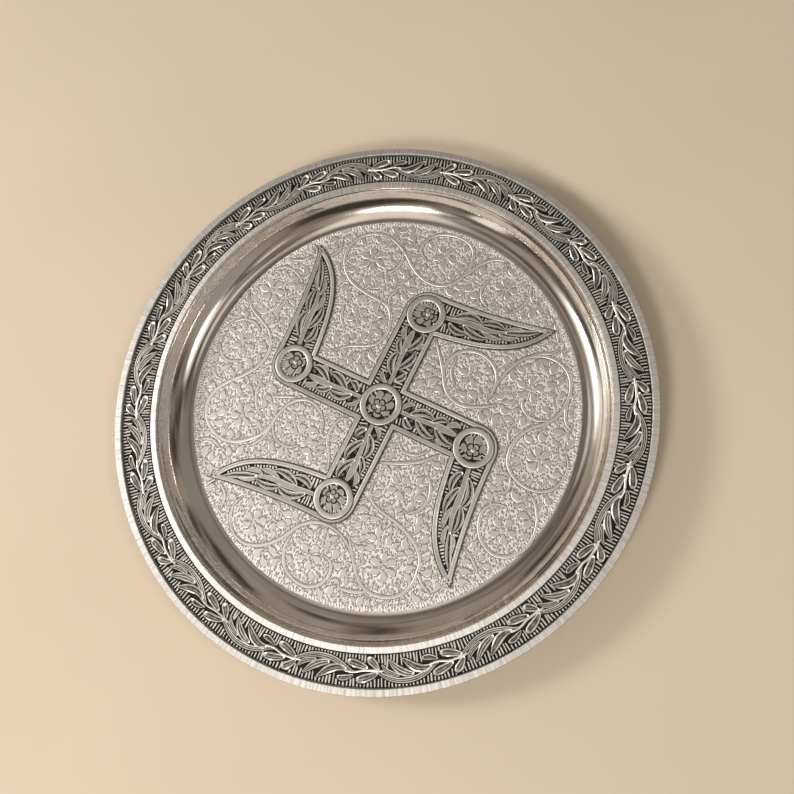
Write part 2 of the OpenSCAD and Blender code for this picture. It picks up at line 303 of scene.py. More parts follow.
dish_stretches = [
    ([np.array([0.0, 0.0])] + arc(cove_c, cove_r + sheet, -90, -wall_lean, 20), 1),
    (arc(bend_c, bend_r, 180 - wall_lean, 90 + lip_slope, 4), 1),
    ([roll_point(a) for a in np.linspace(lip_slope - 90, 14, 10)], 1),
    ([roll_point(a) for a in np.linspace(20, 166, 30)], 2),
    (arc(roll_c, roll_r - sheet, curl_end, lip_slope - 90, 14), 1),
    (arc(bend_c, far_bend_r, 90 + lip_slope, 180 - wall_lean, 8), 0),
    (arc(cove_c, cove_r, -wall_lean, -90, 34) + [np.array([0.0, sheet])], 0),
]
dish_profile = [p for points, _ in dish_stretches for p in points]
dish_zones = [zone for points, zone in dish_stretches for _ in points]
cut_depth = 0.05 * mm
dish_cuts = [cut_depth if zone == 2 else 0 for zone in dish_zones]
dish = turned("thali_dish", dish_profile, 640, [mirror_polish, spun_satin, bright_cut], dish_zones,
              cuts=dish_cuts, sharp=50)
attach(dish, "root")
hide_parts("dish")


# The wire in the edge
# A plain drawn wire that keeps the rolled edge stiff. The roll closes over it, so it hardly shows.

def drawn_finish():
    """Drawn wire, with fine lines along its length and a dull skin."""
    material, tree, place = new_material("drawn_wire")
    lines = noise(tree, around(tree, place, 3, 5200), 1, 2)
    dress(tree, mixed(tree, lines, (0.50, 0.48, 0.45, 1), (0.36, 0.34, 0.31, 1)),
          spread(tree, lines, 0.3, 0.7, 0.34, 0.5), bump(tree, lines, 0.3, 0.02 * mm))
    return material


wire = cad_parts["edge_wire"]
wire.data.materials.clear()
wire.data.materials.append(drawn_finish())


# The bright ring
# A flat ring of white metal soldered round the mouth of the well. Its top is highest near the well, where
# it ends in a steep shoulder, and the graver's marks lie across it.

seat_gap = 0.1 * mm
edge_gap = 0.15 * mm
band_w = 3.5 * mm
band_t = 1.15 * mm
band_thin_t = 0.5 * mm
shoulder_w = 0.6 * mm
shoulder_t = 1.5 * mm
band_in = mouth[0] + edge_gap
band_out = band_in + band_w
band_edge = 0.12 * mm


def over_lip(r, h):
    """A point over the lip, at a radius and a height above the lip's top face."""
    return np.array([r, lip_height(r) + h])


shoulder_r = band_in + shoulder_w
band_profile = [
    over_lip(band_in, seat_gap),
    over_lip(band_out, seat_gap),
    over_lip(band_out, band_t - 2 * band_edge),
    *[over_lip(r, np.interp(r, [shoulder_r, band_out], [shoulder_t, band_t]))
      for r in (*np.linspace(band_out - band_edge, shoulder_r + band_edge, 7), shoulder_r)],
    over_lip(band_in + 0.4 * shoulder_w, (band_thin_t + 1.5 * shoulder_t) / 2.5),
    over_lip(band_in, band_thin_t),
]
band_cuts = [0, 0, 0] + [cut_depth] * 9 + [0]
ring_cut = cut_finish("ring_cut", 0.42, 0.56, (0.84, 0.82, 0.80, 1), (0.56, 0.545, 0.525, 1))
band = turned("bright_ring", band_profile, 720, [ring_cut], closed=True, cuts=band_cuts, sharp=45)
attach(band, "root")
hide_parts("bright_band")


# The vine ring
# A flat ring soldered to the lip, chased with a running vine over close ribs. A dark patina fills the
# ground, and the high parts are rubbed bright again. The vine has ten waves, with a leaf to each side.

border_in = band_out + edge_gap
border_w = 14.6 * mm
border_out = border_in + border_w
border_mid = border_in + border_w / 2
border_t = 0.7 * mm
vine_relief = 0.58 * mm
rib_relief = 0.43 * mm
waves = 10
vine_turn = radians(-2)


def aged_finish(name, height, relief, dark, field, bright, top_rough, marks=None):
    """Chased metal under a patina. height is a function that gives the height above the ground. The metal
    goes from dark in the ground through the grey of its fields to rubbed bright at the full relief. marks,
    where given, is a function for marks that are punched into the ground and rubbed as the fields are."""
    material, tree, place = new_material(name)
    mottle = noise(tree, place, 420, 4, 0.65)
    clouds = noise(tree, place, 45, 3)
    up = maths(tree, "DIVIDE", height(tree, place), relief)
    rubbed = maths(tree, "ADD", up, maths(tree, "MULTIPLY", maths(tree, "SUBTRACT", mottle, 0.5), 0.55))
    share = spread(tree, rubbed, 0.12, 0.72)
    share.interpolation_type = "SMOOTHSTEP"
    dull = tuple(c * 0.86 for c in bright[:3]) + (1,)
    worn = mixed(tree, spread(tree, clouds, 0.35, 0.7), bright, dull)
    worn = mixed(tree, spread(tree, up, 0.68, 0.76), field, worn)
    uneven = mottle
    if marks:
        low = maths(tree, "MULTIPLY", marks(tree, place), maths(tree, "SUBTRACT", 1.0, share))
        dark = mixed(tree, maths(tree, "MULTIPLY", low, 0.32), dark, field)
        uneven = maths(tree, "ADD", mottle, maths(tree, "MULTIPLY", low, 2.0))
    rough = maths(tree, "ADD", spread(tree, share, 0, 1, 0.55, top_rough),
                  spread(tree, mottle, 0.3, 0.7, -0.05, 0.06))
    dress(tree, mixed(tree, share, dark, worn), rough, bump(tree, uneven, 0.35, 0.06 * mm))
    return material


def height_over_lip(tree, place):
    """Height above the ground of the vine ring, which slopes with the lip."""
    slope = maths(tree, "MULTIPLY", maths(tree, "SUBTRACT", radius_of(tree, place), mouth[0]), rise)
    over_mouth = maths(tree, "SUBTRACT", height_of(tree, place), mouth[1] + border_t)
    return maths(tree, "SUBTRACT", over_mouth, slope)


aged_vine = aged_finish("aged_vine", height_over_lip, 0.52 * mm, (0.030, 0.027, 0.023, 1),
                        (0.66, 0.64, 0.61, 1), (0.97, 0.95, 0.92, 1), 0.38)

ring_profile = [over_lip(border_in, seat_gap), over_lip(border_out, seat_gap),
                over_lip(border_out, border_t), over_lip(border_in, border_t)]
vine_ground = turned("vine_ring", ring_profile, 360, [aged_vine], closed=True)
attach(vine_ground, "root")
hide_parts("vine_border")


def smooth_path(points, gap):
    """A smooth curve through given points, as points about a gap apart."""
    p = np.array(points, float)
    p = np.vstack([2 * p[0] - p[1], p, 2 * p[-1] - p[-2]])
    made = []
    for a, b, c, d in zip(p, p[1:], p[2:], p[3:]):
        steps = max(2, round(np.linalg.norm(c - b) / gap))
        for t in np.arange(steps) / steps:
            made.append(0.5 * (2 * b + (c - a) * t + (2 * a - 5 * b + 4 * c - d) * t ** 2
                               + (3 * b - a - 3 * c + d) * t ** 3))
    return np.array(made + [p[-2]])


# Cross sections of raised work, from one edge to the other: how far across, and how high.
ridged = [(-1, 0.6), (-0.88, 1), (-0.6, 0.97), (-0.48, 0.3), (-0.22, 0.25), (-0.1, 0.8), (0.1, 0.8),
          (0.22, 0.25), (0.48, 0.3), (0.6, 0.97), (0.88, 1), (1, 0.6)]
looped = [(-1, 0.6), (-0.86, 1), (-0.56, 0.97), (-0.44, 0.02), (-0.3, 0.3), (0.3, 0.3), (0.44, 0.02),
          (0.56, 0.97), (0.86, 1), (1, 0.6)]
split = [(-1, 0.5), (-0.93, 1), (-0.74, 1), (-0.66, 0.62), (-0.27, 0.62), (-0.17, 0.05), (0.17, 0.05),
         (0.27, 0.62), (0.66, 0.62), (0.74, 1), (0.93, 1), (1, 0.5)]
rimmed = [(-1, 0.5), (-0.93, 1), (-0.74, 1), (-0.66, 0.62), (0.66, 0.62), (0.74, 1), (0.93, 1), (1, 0.5)]
level = [(-1, 0.2), (-0.7, 1), (0.7, 1), (1, 0.2)]
bevelled = [(-1, 0.15), (-0.5, 1), (0.5, 1), (1, 0.15)]
rounded = [(-1, 0.2), (-0.8, 0.68), (-0.4, 0.94), (0, 1), (0.4, 0.94), (0.8, 0.68), (1, 0.2)]
tip_w = 0.05 * mm
root_sink = 0.06 * mm


def raised(work, points, widths, section, height, lay, gap=0.55 * mm):
    """Adds one raised strip to the work, a list of points and a list of faces. It follows the points,
    given flat in millimetres, with half widths spread evenly along it and rounded ends, where a hollow
    section closes. lay puts a flat point and its height in place."""
    verts, faces = work
    path = smooth_path(np.array(points) * mm, gap)
    lengths = np.concatenate([[0], np.cumsum(np.linalg.norm(np.diff(path, axis=0), axis=1))])
    share = lengths / lengths[-1]
    wide = np.interp(share, np.linspace(0, 1, len(widths)), widths) * mm
    for end, sign in ((0, 1), (-1, -1)):
        extra = wide[end] * np.array([0.08, 0.35])
        at = [lengths[end] + sign * e for e in extra]
        marks = np.concatenate([lengths, at])
        order = np.argsort(marks)
        path = np.stack([np.interp(marks[order], lengths, path[:, i]) for i in (0, 1)], 1)
        wide = np.interp(marks[order], lengths, wide)
        lengths = marks[order]
    way = np.gradient(path, lengths, axis=0)
    way /= np.linalg.norm(way, axis=1)[:, None]
    left = np.stack([-way[:, 1], way[:, 0]], 1)
    to_end = np.minimum(lengths - lengths[0], lengths[-1] - lengths)
    round_off = np.sqrt(np.clip(1 - (1 - np.clip(to_end / wide, 0, 1)) ** 2, 0, 1))
    half = np.maximum(wide * round_off, tip_w)
    fade = np.sqrt(np.clip(half / (0.22 * wide.max()), 0, 1))
    solid = 1 - np.clip((to_end / wide - 0.5) / 0.7, 0, 1)
    ring = [(-1, None)] + list(section) + [(1, None)]
    first = len(verts)
    for i, p in enumerate(path):
        for across, up in ring:
            x, y = p + left[i] * half[i] * across
            if up is None:
                verts.append(lay(x, y, -root_sink))
            else:
                up = max(up, 0.95 * solid[i]) if abs(across) < 0.8 else up
                verts.append(lay(x, y, height * fade[i] * up))
    n = len(ring)
    for i in range(len(path) - 1):
        a = first + i * n
        faces.extend((a + j, a + n + j, a + n + (j + 1) % n, a + (j + 1) % n) for j in range(n))
    faces.append(tuple(range(first, first + n)))
    faces.append(tuple(range(first + len(path) * n - 1, first + len(path) * n - n - 1, -1)))


def on_vine(x, y, h):
    """A point of the vine, by its way round the ring, its way out from the ring's middle, and its height."""
    angle = pi / 2 + vine_turn - x / border_mid
    r = border_mid + y
    return (r * cos(angle), r * sin(angle), lip_height(r) + border_t + h)


def one_wave():
    """Two half waves, each from one joint of the stem to the next: a long leaf that bulges to one side
    with three lobes on the other, the stem, and four buds round the joint. Places are in millimetres from
    the joint, clockwise along the ring and towards the bulge."""
    work = ([], [])
    half_wave = border_mid * pi / waves
    joint = 28.4 * mm
    for start, side in ((0, 1), (half_wave, -1)):
        def lay(x, y, h):
            return on_vine(start + x - joint, side * y, h)

        def part(points, widths, section, height=1.0):
            raised(work, points, widths, section, vine_relief * height, lay, 0.6 * mm)

        part([(11.5, -0.9), (15, 0.3), (19, 2.5), (24, 4.2), (29, 4.6), (34, 4.0), (38.5, 2.2), (41.8, 0.1)],
             [0.3, 0.9, 1.2, 1.25, 1.25, 1.15, 0.95, 0.6], ridged)
        part([(-1.6, -0.1), (3.5, 0.35), (8, 0.2), (12.4, -0.7), (17, -0.5)], [0.6, 0.7, 0.6, 0.65, 0.4],
             rounded, 0.9)
        part([(16.0, 0.3), (20.3, 0.7), (24.6, -0.9), (29.6, -4.9)], [0.8, 1.6, 2.0, 1.6, 0.4], looped, 0.95)
        part([(24.6, 2.4), (28.5, 1.5), (32.4, -0.7), (36.4, -4.8)], [0.8, 1.6, 1.9, 1.4, 0.35], ridged, 0.9)
        part([(31.5, 2.4), (34.6, 1.4), (37.4, 0.0), (39.8, -2.8)], [0.6, 1.1, 1.2, 0.3], ridged, 0.85)
        part([(0.4, 0.4), (2.0, 2.3), (4.0, 4.2), (6.4, 5.6)], [0.5, 1.5, 1.95, 1.4], looped)
        part([(5.8, 1.2), (9.0, 2.3), (12.6, 3.2), (16.2, 3.9)], [0.7, 1.6, 1.95, 1.3], looped)
        part([(0.8, -0.6), (4.0, -2.1), (7.6, -3.3), (11.2, -4.1)], [0.6, 1.6, 1.95, 1.4], looped)
        part([(12.6, -1.9), (14.8, -2.9), (17.4, -3.6), (20.2, -3.5)], [0.4, 1.1, 1.4, 0.8], looped, 0.85)
    return mesh_object("wave", *work, [aged_vine], sharp=45)


def new_tree(name, sockets):
    """A geometry node tree with a geometry input and output, and named inputs: a kind for each name."""
    tree = bpy.data.node_groups.new(name, "GeometryNodeTree")
    tree.interface.new_socket("Geometry", in_out="INPUT", socket_type="NodeSocketGeometry")
    for label, kind in sockets.items():
        tree.interface.new_socket(label, in_out="INPUT", socket_type="NodeSocket" + kind)
    tree.interface.new_socket("Geometry", in_out="OUTPUT", socket_type="NodeSocketGeometry")
    return tree, tree.nodes.new("NodeGroupInput"), tree.nodes.new("NodeGroupOutput")


def finish_tree(tree, instances, material, output):
    """The end of each tree: real geometry, with its material."""
    real = node(tree, "GeometryNodeRealizeInstances", {0: instances})
    painted = node(tree, "GeometryNodeSetMaterial", {"Geometry": real, "Material": material})
    tree.links.new(painted.outputs[0], output.inputs[0])


def grown(name, base, tree, values, sharp=45):
    """Runs a tree on a base object and returns what it makes as a plain mesh. The base is used up."""
    modifier = base.modifiers.new(tree.name, "NODES")
    modifier.node_group = tree
    for item in tree.interface.items_tree:
        if item.in_out == "INPUT" and item.name in values:
            modifier[item.identifier] = values[item.name]
    graph = bpy.context.evaluated_depsgraph_get()
    mesh = bpy.data.meshes.new_from_object(base.evaluated_get(graph))
    bpy.data.objects.remove(base)
    mesh.name = name
    mesh.shade_smooth()
    mesh.set_sharp_from_angle(angle=radians(sharp))
    return new_object(name, mesh)


def turned_by(tree, angle):
    return node(tree, "FunctionNodeEulerToRotation", {0: upright(tree, angle)})


def shape_of(tree, thing):
    return node(tree, "GeometryNodeObjectInfo", {"Object": thing}).outputs["Geometry"]


def round_tree():
    """Copies of one motif, turned evenly about the axis of the plate."""
    tree, given, output = new_tree("round_the_axis", {"Count": "Int", "Material": "Material"})
    spots = node(tree, "GeometryNodePoints", {"Count": given.outputs["Count"]})
    step = maths(tree, "DIVIDE", 2 * pi, given.outputs["Count"])
    angle = maths(tree, "MULTIPLY", node(tree, "GeometryNodeInputIndex"), step)
    copies = node(tree, "GeometryNodeInstanceOnPoints", {
        "Points": spots, "Instance": given.outputs["Geometry"], "Rotation": turned_by(tree, angle)})
    finish_tree(tree, copies, given.outputs["Material"], output)
    return tree


round_the_axis = round_tree()
vine = grown("vine", one_wave(), round_the_axis, {"Count": waves, "Material": aged_vine})
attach(vine, "root")
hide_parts("vine_border")


def stroke_mesh():
    """One stroke of a punch, as a bar of unit size with round ends and a round back, few faces."""
    outline = [(0.3, 0), (0.5, 0.08), (0.5, 0.92), (0.3, 1),
               (-0.3, 1), (-0.5, 0.92), (-0.5, 0.08), (-0.3, 0)]
    rows = [(1.0, -0.15), (1.0, 0.5), (0.7, 1.0)]
    verts = [(x * s, 0.5 + (y - 0.5) * (1 - (1 - s) * 0.2), z) for s, z in rows for x, y in outline]
    n = len(outline)
    faces = [tuple(range(n))[::-1], tuple(range(2 * n, 3 * n))] + row_faces(len(rows), n)
    stroke = mesh_object("stroke", verts, faces, [])
    stroke.hide_render = True
    return stroke


def stroke_tree():
    """Strokes set side by side across a path, a pitch apart, each a little different in length and width.
    They start on the path and run to its left, leaning a little, and stop a gap short of the leaves, or short
    of the middle where the far side is near. Slope tilts them with a lip about the plate's axis."""
    tree, given, output = new_tree("strokes_across_a_path", {
        "Stroke": "Object", "Leaves": "Object", "Far Side": "Object", "Pitch": "Float", "Length": "Float",
        "Width": "Float", "Height": "Float", "Shortest": "Float", "Gap": "Float", "Slope": "Float",
        "Radius": "Float", "Seed": "Int", "Material": "Material"})
    want = given.outputs

    def varied(low, high, seed):
        inputs = {2: low, 3: high, "Seed": seed}
        return node(tree, "FunctionNodeRandomValue", inputs, data_type="FLOAT").outputs[1]

    path = node(tree, "GeometryNodeMeshToCurve", {0: want["Geometry"]})
    spots = node(tree, "GeometryNodeCurveToPoints", {0: path, "Length": want["Pitch"]}, mode="LENGTH")
    along_path = spots.outputs["Tangent"]
    turn = node(tree, "FunctionNodeAlignRotationToVector", {"Vector": along_path}, axis="X", pivot_axis="Z")
    lean = turned_by(tree, varied(-0.13, 0.13, maths(tree, "ADD", want["Seed"], 2)))
    turn = node(tree, "FunctionNodeRotateRotation", {0: turn, 1: lean}, rotation_space="LOCAL")
    left = vectors(tree, "CROSS_PRODUCT", (0, 0, 1), along_path)
    here = node(tree, "GeometryNodeInputPosition")
    outwards = vectors(tree, "NORMALIZE", vectors(tree, "MULTIPLY", here, (1, 1, 0)))
    climb = vectors(tree, "DOT_PRODUCT", left, outwards).outputs["Value"]
    way = vectors(tree, "ADD", left, upright(tree, maths(tree, "MULTIPLY", climb, want["Slope"])))
    start = vectors(tree, "ADD", here, upright(tree, maths(tree, "MULTIPLY", want["Height"], 0.6)))
    reach = maths(tree, "ADD", want["Length"], want["Gap"])

    def clear_way(target, length):
        """How far a stroke could run before it meets a target, or 1 metre more where nothing is met."""
        ray = node(tree, "GeometryNodeRaycast", {
            "Target Geometry": shape_of(tree, want[target]), "Source Position": start,
            "Ray Direction": way, "Ray Length": length})
        free = maths(tree, "SUBTRACT", 1.0, ray.outputs["Is Hit"])
        return maths(tree, "ADD", ray.outputs["Hit Distance"], free)

    to_leaf = maths(tree, "SUBTRACT", clear_way("Leaves", reach), want["Gap"])
    to_middle = maths(tree, "MULTIPLY", clear_way("Far Side", maths(tree, "MULTIPLY", reach, 2.4)), 0.44)
    wished = maths(tree, "MULTIPLY", want["Length"], varied(want["Shortest"], 1.0, want["Seed"]))
    length = maths(tree, "MINIMUM", wished, maths(tree, "MINIMUM", to_leaf, to_middle))
    wider = varied(0.7, 1.25, maths(tree, "ADD", want["Seed"], 1))
    size = node(tree, "ShaderNodeCombineXYZ", {
        0: maths(tree, "MULTIPLY", want["Width"], wider), 1: length, 2: want["Height"]})
    fits = node(tree, "FunctionNodeCompare", {0: length, 1: maths(tree, "MULTIPLY", want["Width"], 0.7)},
                data_type="FLOAT", operation="GREATER_THAN")
    copies = node(tree, "GeometryNodeInstanceOnPoints", {
        "Points": spots.outputs["Points"], "Selection": fits, "Instance": shape_of(tree, want["Stroke"]),
        "Rotation": turn, "Scale": size})
    real = node(tree, "GeometryNodeRealizeInstances", {0: copies})
    away = maths(tree, "SUBTRACT", radius_of(tree, node(tree, "GeometryNodeInputPosition")), want["Radius"])
    lift = upright(tree, maths(tree, "MULTIPLY", away, want["Slope"]))
    tilted = node(tree, "GeometryNodeSetPosition", {"Geometry": real, "Offset": lift})
    finish_tree(tree, tilted, want["Material"], output)
    return tree


def path_object(points, closed=True):
    """A bare path of edges for a tree to follow."""
    mesh = bpy.data.meshes.new("path")
    n = len(points)
    edges = [(i, (i + 1) % n) for i in range(n if closed else n - 1)]
    mesh.from_pydata([tuple(p) for p in points], edges, [])
    return new_object("path", mesh)


def ring_path(r, z, turn=1):
    """A closed circle about the axis, anticlockwise from above if turn is 1."""
    return path_object([(r * cos(a), r * sin(a), z) for a in turn * np.linspace(0, 2 * pi, 361)[:-1]])


stroke = stroke_mesh()
strokes_across = stroke_tree()
rib_pitch = 1.6 * mm
rib_w = 0.86 * mm
rib_edge = 0.3 * mm
rib_gap = 0.4 * mm
for name, r, turn, length in (("inner_ribs", border_in + rib_edge, -1, 6.2 * mm),
                              ("outer_ribs", border_out - rib_edge, 1, 5.2 * mm)):
    base = ring_path(r, lip_height(r) + border_t, turn)
    ribs = grown(name, base, strokes_across, {
        "Stroke": stroke, "Leaves": vine, "Pitch": rib_pitch * r / border_mid, "Length": length,
        "Width": rib_w, "Height": rib_relief, "Shortest": 0.7, "Gap": rib_gap, "Slope": rise, "Radius": r,
        "Seed": 3, "Material": aged_vine})
    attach(ribs, "root")
    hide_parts("vine_border")


# The floor disc
# A disc of thin sheet, embossed with scrolls, flowers and round leaves over a ground stippled with a
# punch, then frosted. It lies on the floor of the dish and stops just short of the cove.

disc_t = 0.5 * mm
disc_top = sheet + disc_t
disc_r = floor_r - edge_gap
scroll_relief = 0.3 * mm


def worm_cells(tree, place, sway_scale, sway, squash, scale):
    """How far from a mark's middle, for the marks of a worm-like punch: squashed cells, swayed to and fro."""
    push = scaled(tree, noise(tree, place, sway_scale, 2).outputs["Color"], sway)
    wavy = vectors(tree, "MULTIPLY", vectors(tree, "ADD", place, push), (1, squash, 1))
    cells = node(tree, "ShaderNodeTexVoronoi", {"Vector": wavy, "Scale": scale}, voronoi_dimensions="2D")
    return cells.outputs["Distance"]


def frosted_finish():
    """Frosted metal: a ground matted with a punch, which scatters the light, and smoother raised work, whose
    bevels are painted lighter than their tops as a painted highlight.
    """
    material, tree, place = new_material("frosted")
    z = height_of(tree, place)
    up = spread(tree, z, disc_top + 0.03 * mm, disc_top + 0.08 * mm)
    # Up to the flat tops, the raised work's bevels are given a lighter colour: a painted highlight round each
    # form.
    flat = spread(tree, z, disc_top + 0.19 * mm, disc_top + 0.24 * mm)
    line = spread(tree, worm_cells(tree, place, 260, 2.6 * mm, 0.55, 940), 0.16, 0.5)
    grain = noise(tree, place, 1700, 3, 0.6)
    clouds = noise(tree, place, 30, 3)
    ground = mixed(tree, line, (0.38, 0.36, 0.333, 1), (0.77, 0.74, 0.705, 1))
    top = mixed(tree, spread(tree, clouds, 0.35, 0.7), (0.64, 0.608, 0.576, 1), (0.56, 0.53, 0.50, 1))
    # Painted highlight: the bevels lighter than the tops.
    top = mixed(tree, flat, (0.80, 0.77, 0.735, 1), top)
    lumps = bump(tree, maths(tree, "MULTIPLY", line, maths(tree, "SUBTRACT", 1.0, up)), 1.0, 0.26 * mm)
    dress(tree, mixed(tree, up, ground, top), spread(tree, up, 0, 1, 0.6, 0.52),
          bump(tree, grain, 0.2, 0.06 * mm, lumps))
    return material


frosted = frosted_finish()
disc_edge = 0.2 * mm
disc_profile = [(0, sheet), (disc_r, sheet), (disc_r, disc_top - disc_edge), (disc_r - disc_edge, disc_top),
                *[(disc_r * share, disc_top) for share in (0.75, 0.5, 0.25, 0)]]
floor_disc = turned("floor_ground", disc_profile, 360, [frosted])
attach(floor_disc, "root")
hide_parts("floor_disc")

# The stems, each through given points: the long ones that run from scroll to scroll first.
long_stems = [
    [(-49, 85.4), (-42, 86.6), (-34, 85), (-26, 80.6), (-20, 76), (-14, 72.6), (-7, 71), (0, 72), (5.5, 76),
     (9, 83), (9.6, 91), (6.6, 98), (0, 101), (-8, 100.6), (-15.4, 97.4), (-19.8, 91), (-18.4, 85),
     (-12.4, 81.4)],
    [(7, 78), (10.6, 85), (15, 92.4), (20.4, 97), (27, 98.8)],
    [(-36, 85.8), (-45, 85.6), (-53, 81.8), (-57.6, 74.6), (-57.4, 66.6), (-53.4, 59.4), (-46.6, 54.4),
     (-38, 52.2), (-29, 51.2), (-21.4, 49.6), (-16.8, 43.4), (-15.4, 35.6), (-17.8, 28.6), (-23, 25),
     (-30.6, 21.6), (-39, 15)],
    [(-99, 27.6), (-96.4, 22), (-91, 17.4), (-84, 14.4), (-76.6, 10.6), (-72, 4.6), (-70.8, -3),
     (-73, -10.6), (-78.4, -18.2), (-84.4, -25), (-88, -32), (-88.4, -39.4), (-85, -46), (-79.4, -50.4),
     (-72, -52.6), (-64, -51.2), (-57.4, -46.8), (-52, -41), (-49.8, -34.6), (-48.6, -27.6), (-46.2, -20.6),
     (-41.6, -16), (-35.6, -14.4), (-29.2, -16.4), (-24, -21.4), (-21.8, -27.4)],
    [(10.6, 44), (17, 36.2), (22, 29.6), (27, 22), (33, 18.2), (40, 17.6), (47.6, 20.6), (55.6, 25.4)],
    [(27.6, 21), (22.6, 28.6), (22, 37), (26, 43), (32, 46), (39, 46), (45.4, 43), (49.4, 37.6), (50.4, 31),
     (49.4, 24.4)],
    [(50.8, 28), (51, 37), (53.6, 46.6), (58.4, 53.8), (65, 58), (72.6, 59), (80, 56.4), (85, 50.6),
     (87, 42.6), (86, 34), (81.8, 27), (76, 21.6), (72.2, 15), (71, 7.6), (72.8, 0.6), (77.6, -4),
     (84.6, -6.4), (92, -5.8), (98, -2), (101, 4.6), (100.6, 12), (96.6, 17.6)],
    [(88, -7.4), (94, -12.6), (98, -19.6), (99.2, -27.4), (97.2, -35), (92, -40.8), (84.8, -42.8),
     (77.8, -40), (73, -34), (71.6, -26.4), (75.4, -20.8), (82, -19.2)],
    [(13, -27.4), (20, -24.4), (27, -21), (33.4, -16.8), (39.4, -10.6)],
    [(38.6, -22), (42.6, -26.6), (44.6, -33), (42.8, -39.6), (37.8, -44)],
    [(16, -36), (15.6, -42), (19.4, -46.8), (26, -49), (34, -50.2), (42, -52.6), (49, -56.2), (53.6, -61),
     (55.4, -67.6), (55.2, -75), (51.6, -81.4), (45, -85.4), (37, -86.4), (30, -83.4), (24.4, -77.6),
     (19.4, -71.4), (14.4, -66)],
    [(23, -91.6), (30, -90), (36.4, -87)],
    [(23, -76.4), (18, -71.6), (11.4, -68.2), (4, -67), (-3.8, -68.8), (-9.8, -73.6), (-13.4, -80),
     (-18, -86.4), (-24.4, -91.8), (-32, -94.4), (-39.6, -92.8), (-45, -87.6), (-47, -80.4),
     (-44.6, -73.4)],
    [(-11.4, -79), (-11.6, -87), (-8, -94), (-1.4, -98), (6.6, -98.6), (13, -95), (15.8, -88.6),
     (13.4, -82.6), (7.4, -81)]]
short_stems = [
    [(22.6, 86), (21, 79.6), (23.4, 74), (28.6, 70.6)],
    [(43.6, 92.6), (46, 86), (44.6, 78.6), (40.6, 72.4)], [(45.6, 88), (47.6, 84.4), (50.6, 82)],
    [(58.4, 53.8), (64, 58.8), (69.6, 61.6), (72.4, 65.4)],
    [(66, 37.4), (66.8, 31), (71, 27.2), (77, 26.4), (82, 28.6)],
    [(86.6, 45), (88, 37.6), (90.8, 31.4), (95.4, 28.4)],
    [(25.4, 39.6), (25.6, 33), (28, 28.2), (31.4, 25.2)], [(70, 9), (66.6, 14.6), (67.4, 20.4)],
    [(-28.6, 82.6), (-26.4, 77), (-28, 70.4), (-31.6, 66.4)], [(-21.4, 50.4), (-23, 56), (-20.6, 61)],
    [(-72, 43), (-78, 46.6), (-85.6, 47.4), (-92, 43)], [(-86, 52), (-79, 55), (-74.6, 60)],
    [(-74, 17), (-77.6, 23), (-76.6, 30.6), (-80.6, 36)], [(-44.6, 41), (-42.6, 34), (-38, 29)],
    [(-99.4, -6.6), (-95.6, -11.4), (-90, -13.6), (-83.6, -11)],
    [(-99, 6), (-94, 10.4), (-87, 11.6), (-80.6, 8.6)], [(-55.6, -20.6), (-50, -18), (-44, -15.6)],
    [(-67, -14), (-66, -22), (-62, -29), (-56, -33)],
    [(-49, -33), (-46, -38.2), (-41, -41), (-35, -40.8), (-30, -37.4)],
    [(-48.6, -35), (-50.6, -43), (-55, -50)],
    [(-10.6, -14.4), (-16, -15.4), (-18.4, -22), (-17.4, -29), (-13.4, -34.6), (-10.2, -41)],
    [(-29.6, -68.6), (-24.6, -70), (-23, -75)], [(-60, -73), (-54, -78), (-52.4, -85)],
    [(-82, -58), (-76, -55.4), (-69.6, -57)], [(55, -66.6), (59.6, -71), (65, -73.4)],
    [(17, -13), (22, -17), (29, -15.6), (33.4, -11.4)], [(70.4, -46), (77, -49.6), (82.6, -54.6)],
    [(76.6, -4.4), (78.6, -10), (77, -15.4)], [(61, 79.6), (66, 74.6), (70.4, 68)],
    [(-97, -20), (-92, -24), (-86.6, -24.6)], [(-66, 62.6), (-62.4, 68), (-63, 74.6)]]
# The flowers: the middle of each, its size and its count of petals.
flowers = [
    (67.2, 39.6, 1.15, 5), (33, 84, 1.0, 6), (36, 33.4, 1.0, 5), (-5.4, 88, 1.1, 5), (-42, 71, 1.15, 6),
    (-34, 38, 1.0, 5), (-86, 32, 1.15, 6), (-86, -1.6, 1.1, 5), (-66.6, -36.6, 1.1, 6),
    (-37, -28.4, 1.0, 5), (-32.4, -83, 1.1, 6), (2, -84.6, 1.1, 5), (39, -72.6, 1.15, 6),
    (28.6, -34, 1.05, 5), (86.4, 8.4, 1.05, 6), (84.8, -30.6, 1.1, 5)]


def on_floor(x, y, h):
    """A point of the embossed work on the floor."""
    return (x, y, disc_top + h)


def dark_line_finish(name, dark, pale):
    """A narrow dark line at the foot of raised work, mottled. Round the floor's forms it is painted shade,
    standing in for the shade at their foot; round the bosses it is the dark line of solder.
    """
    material, tree, place = new_material(name)
    mottle = noise(tree, place, 700, 3, 0.6)
    dress(tree, mixed(tree, spread(tree, mottle, 0.3, 0.7), dark, pale),
          spread(tree, mottle, 0.3, 0.7, 0.42, 0.6))
    return material


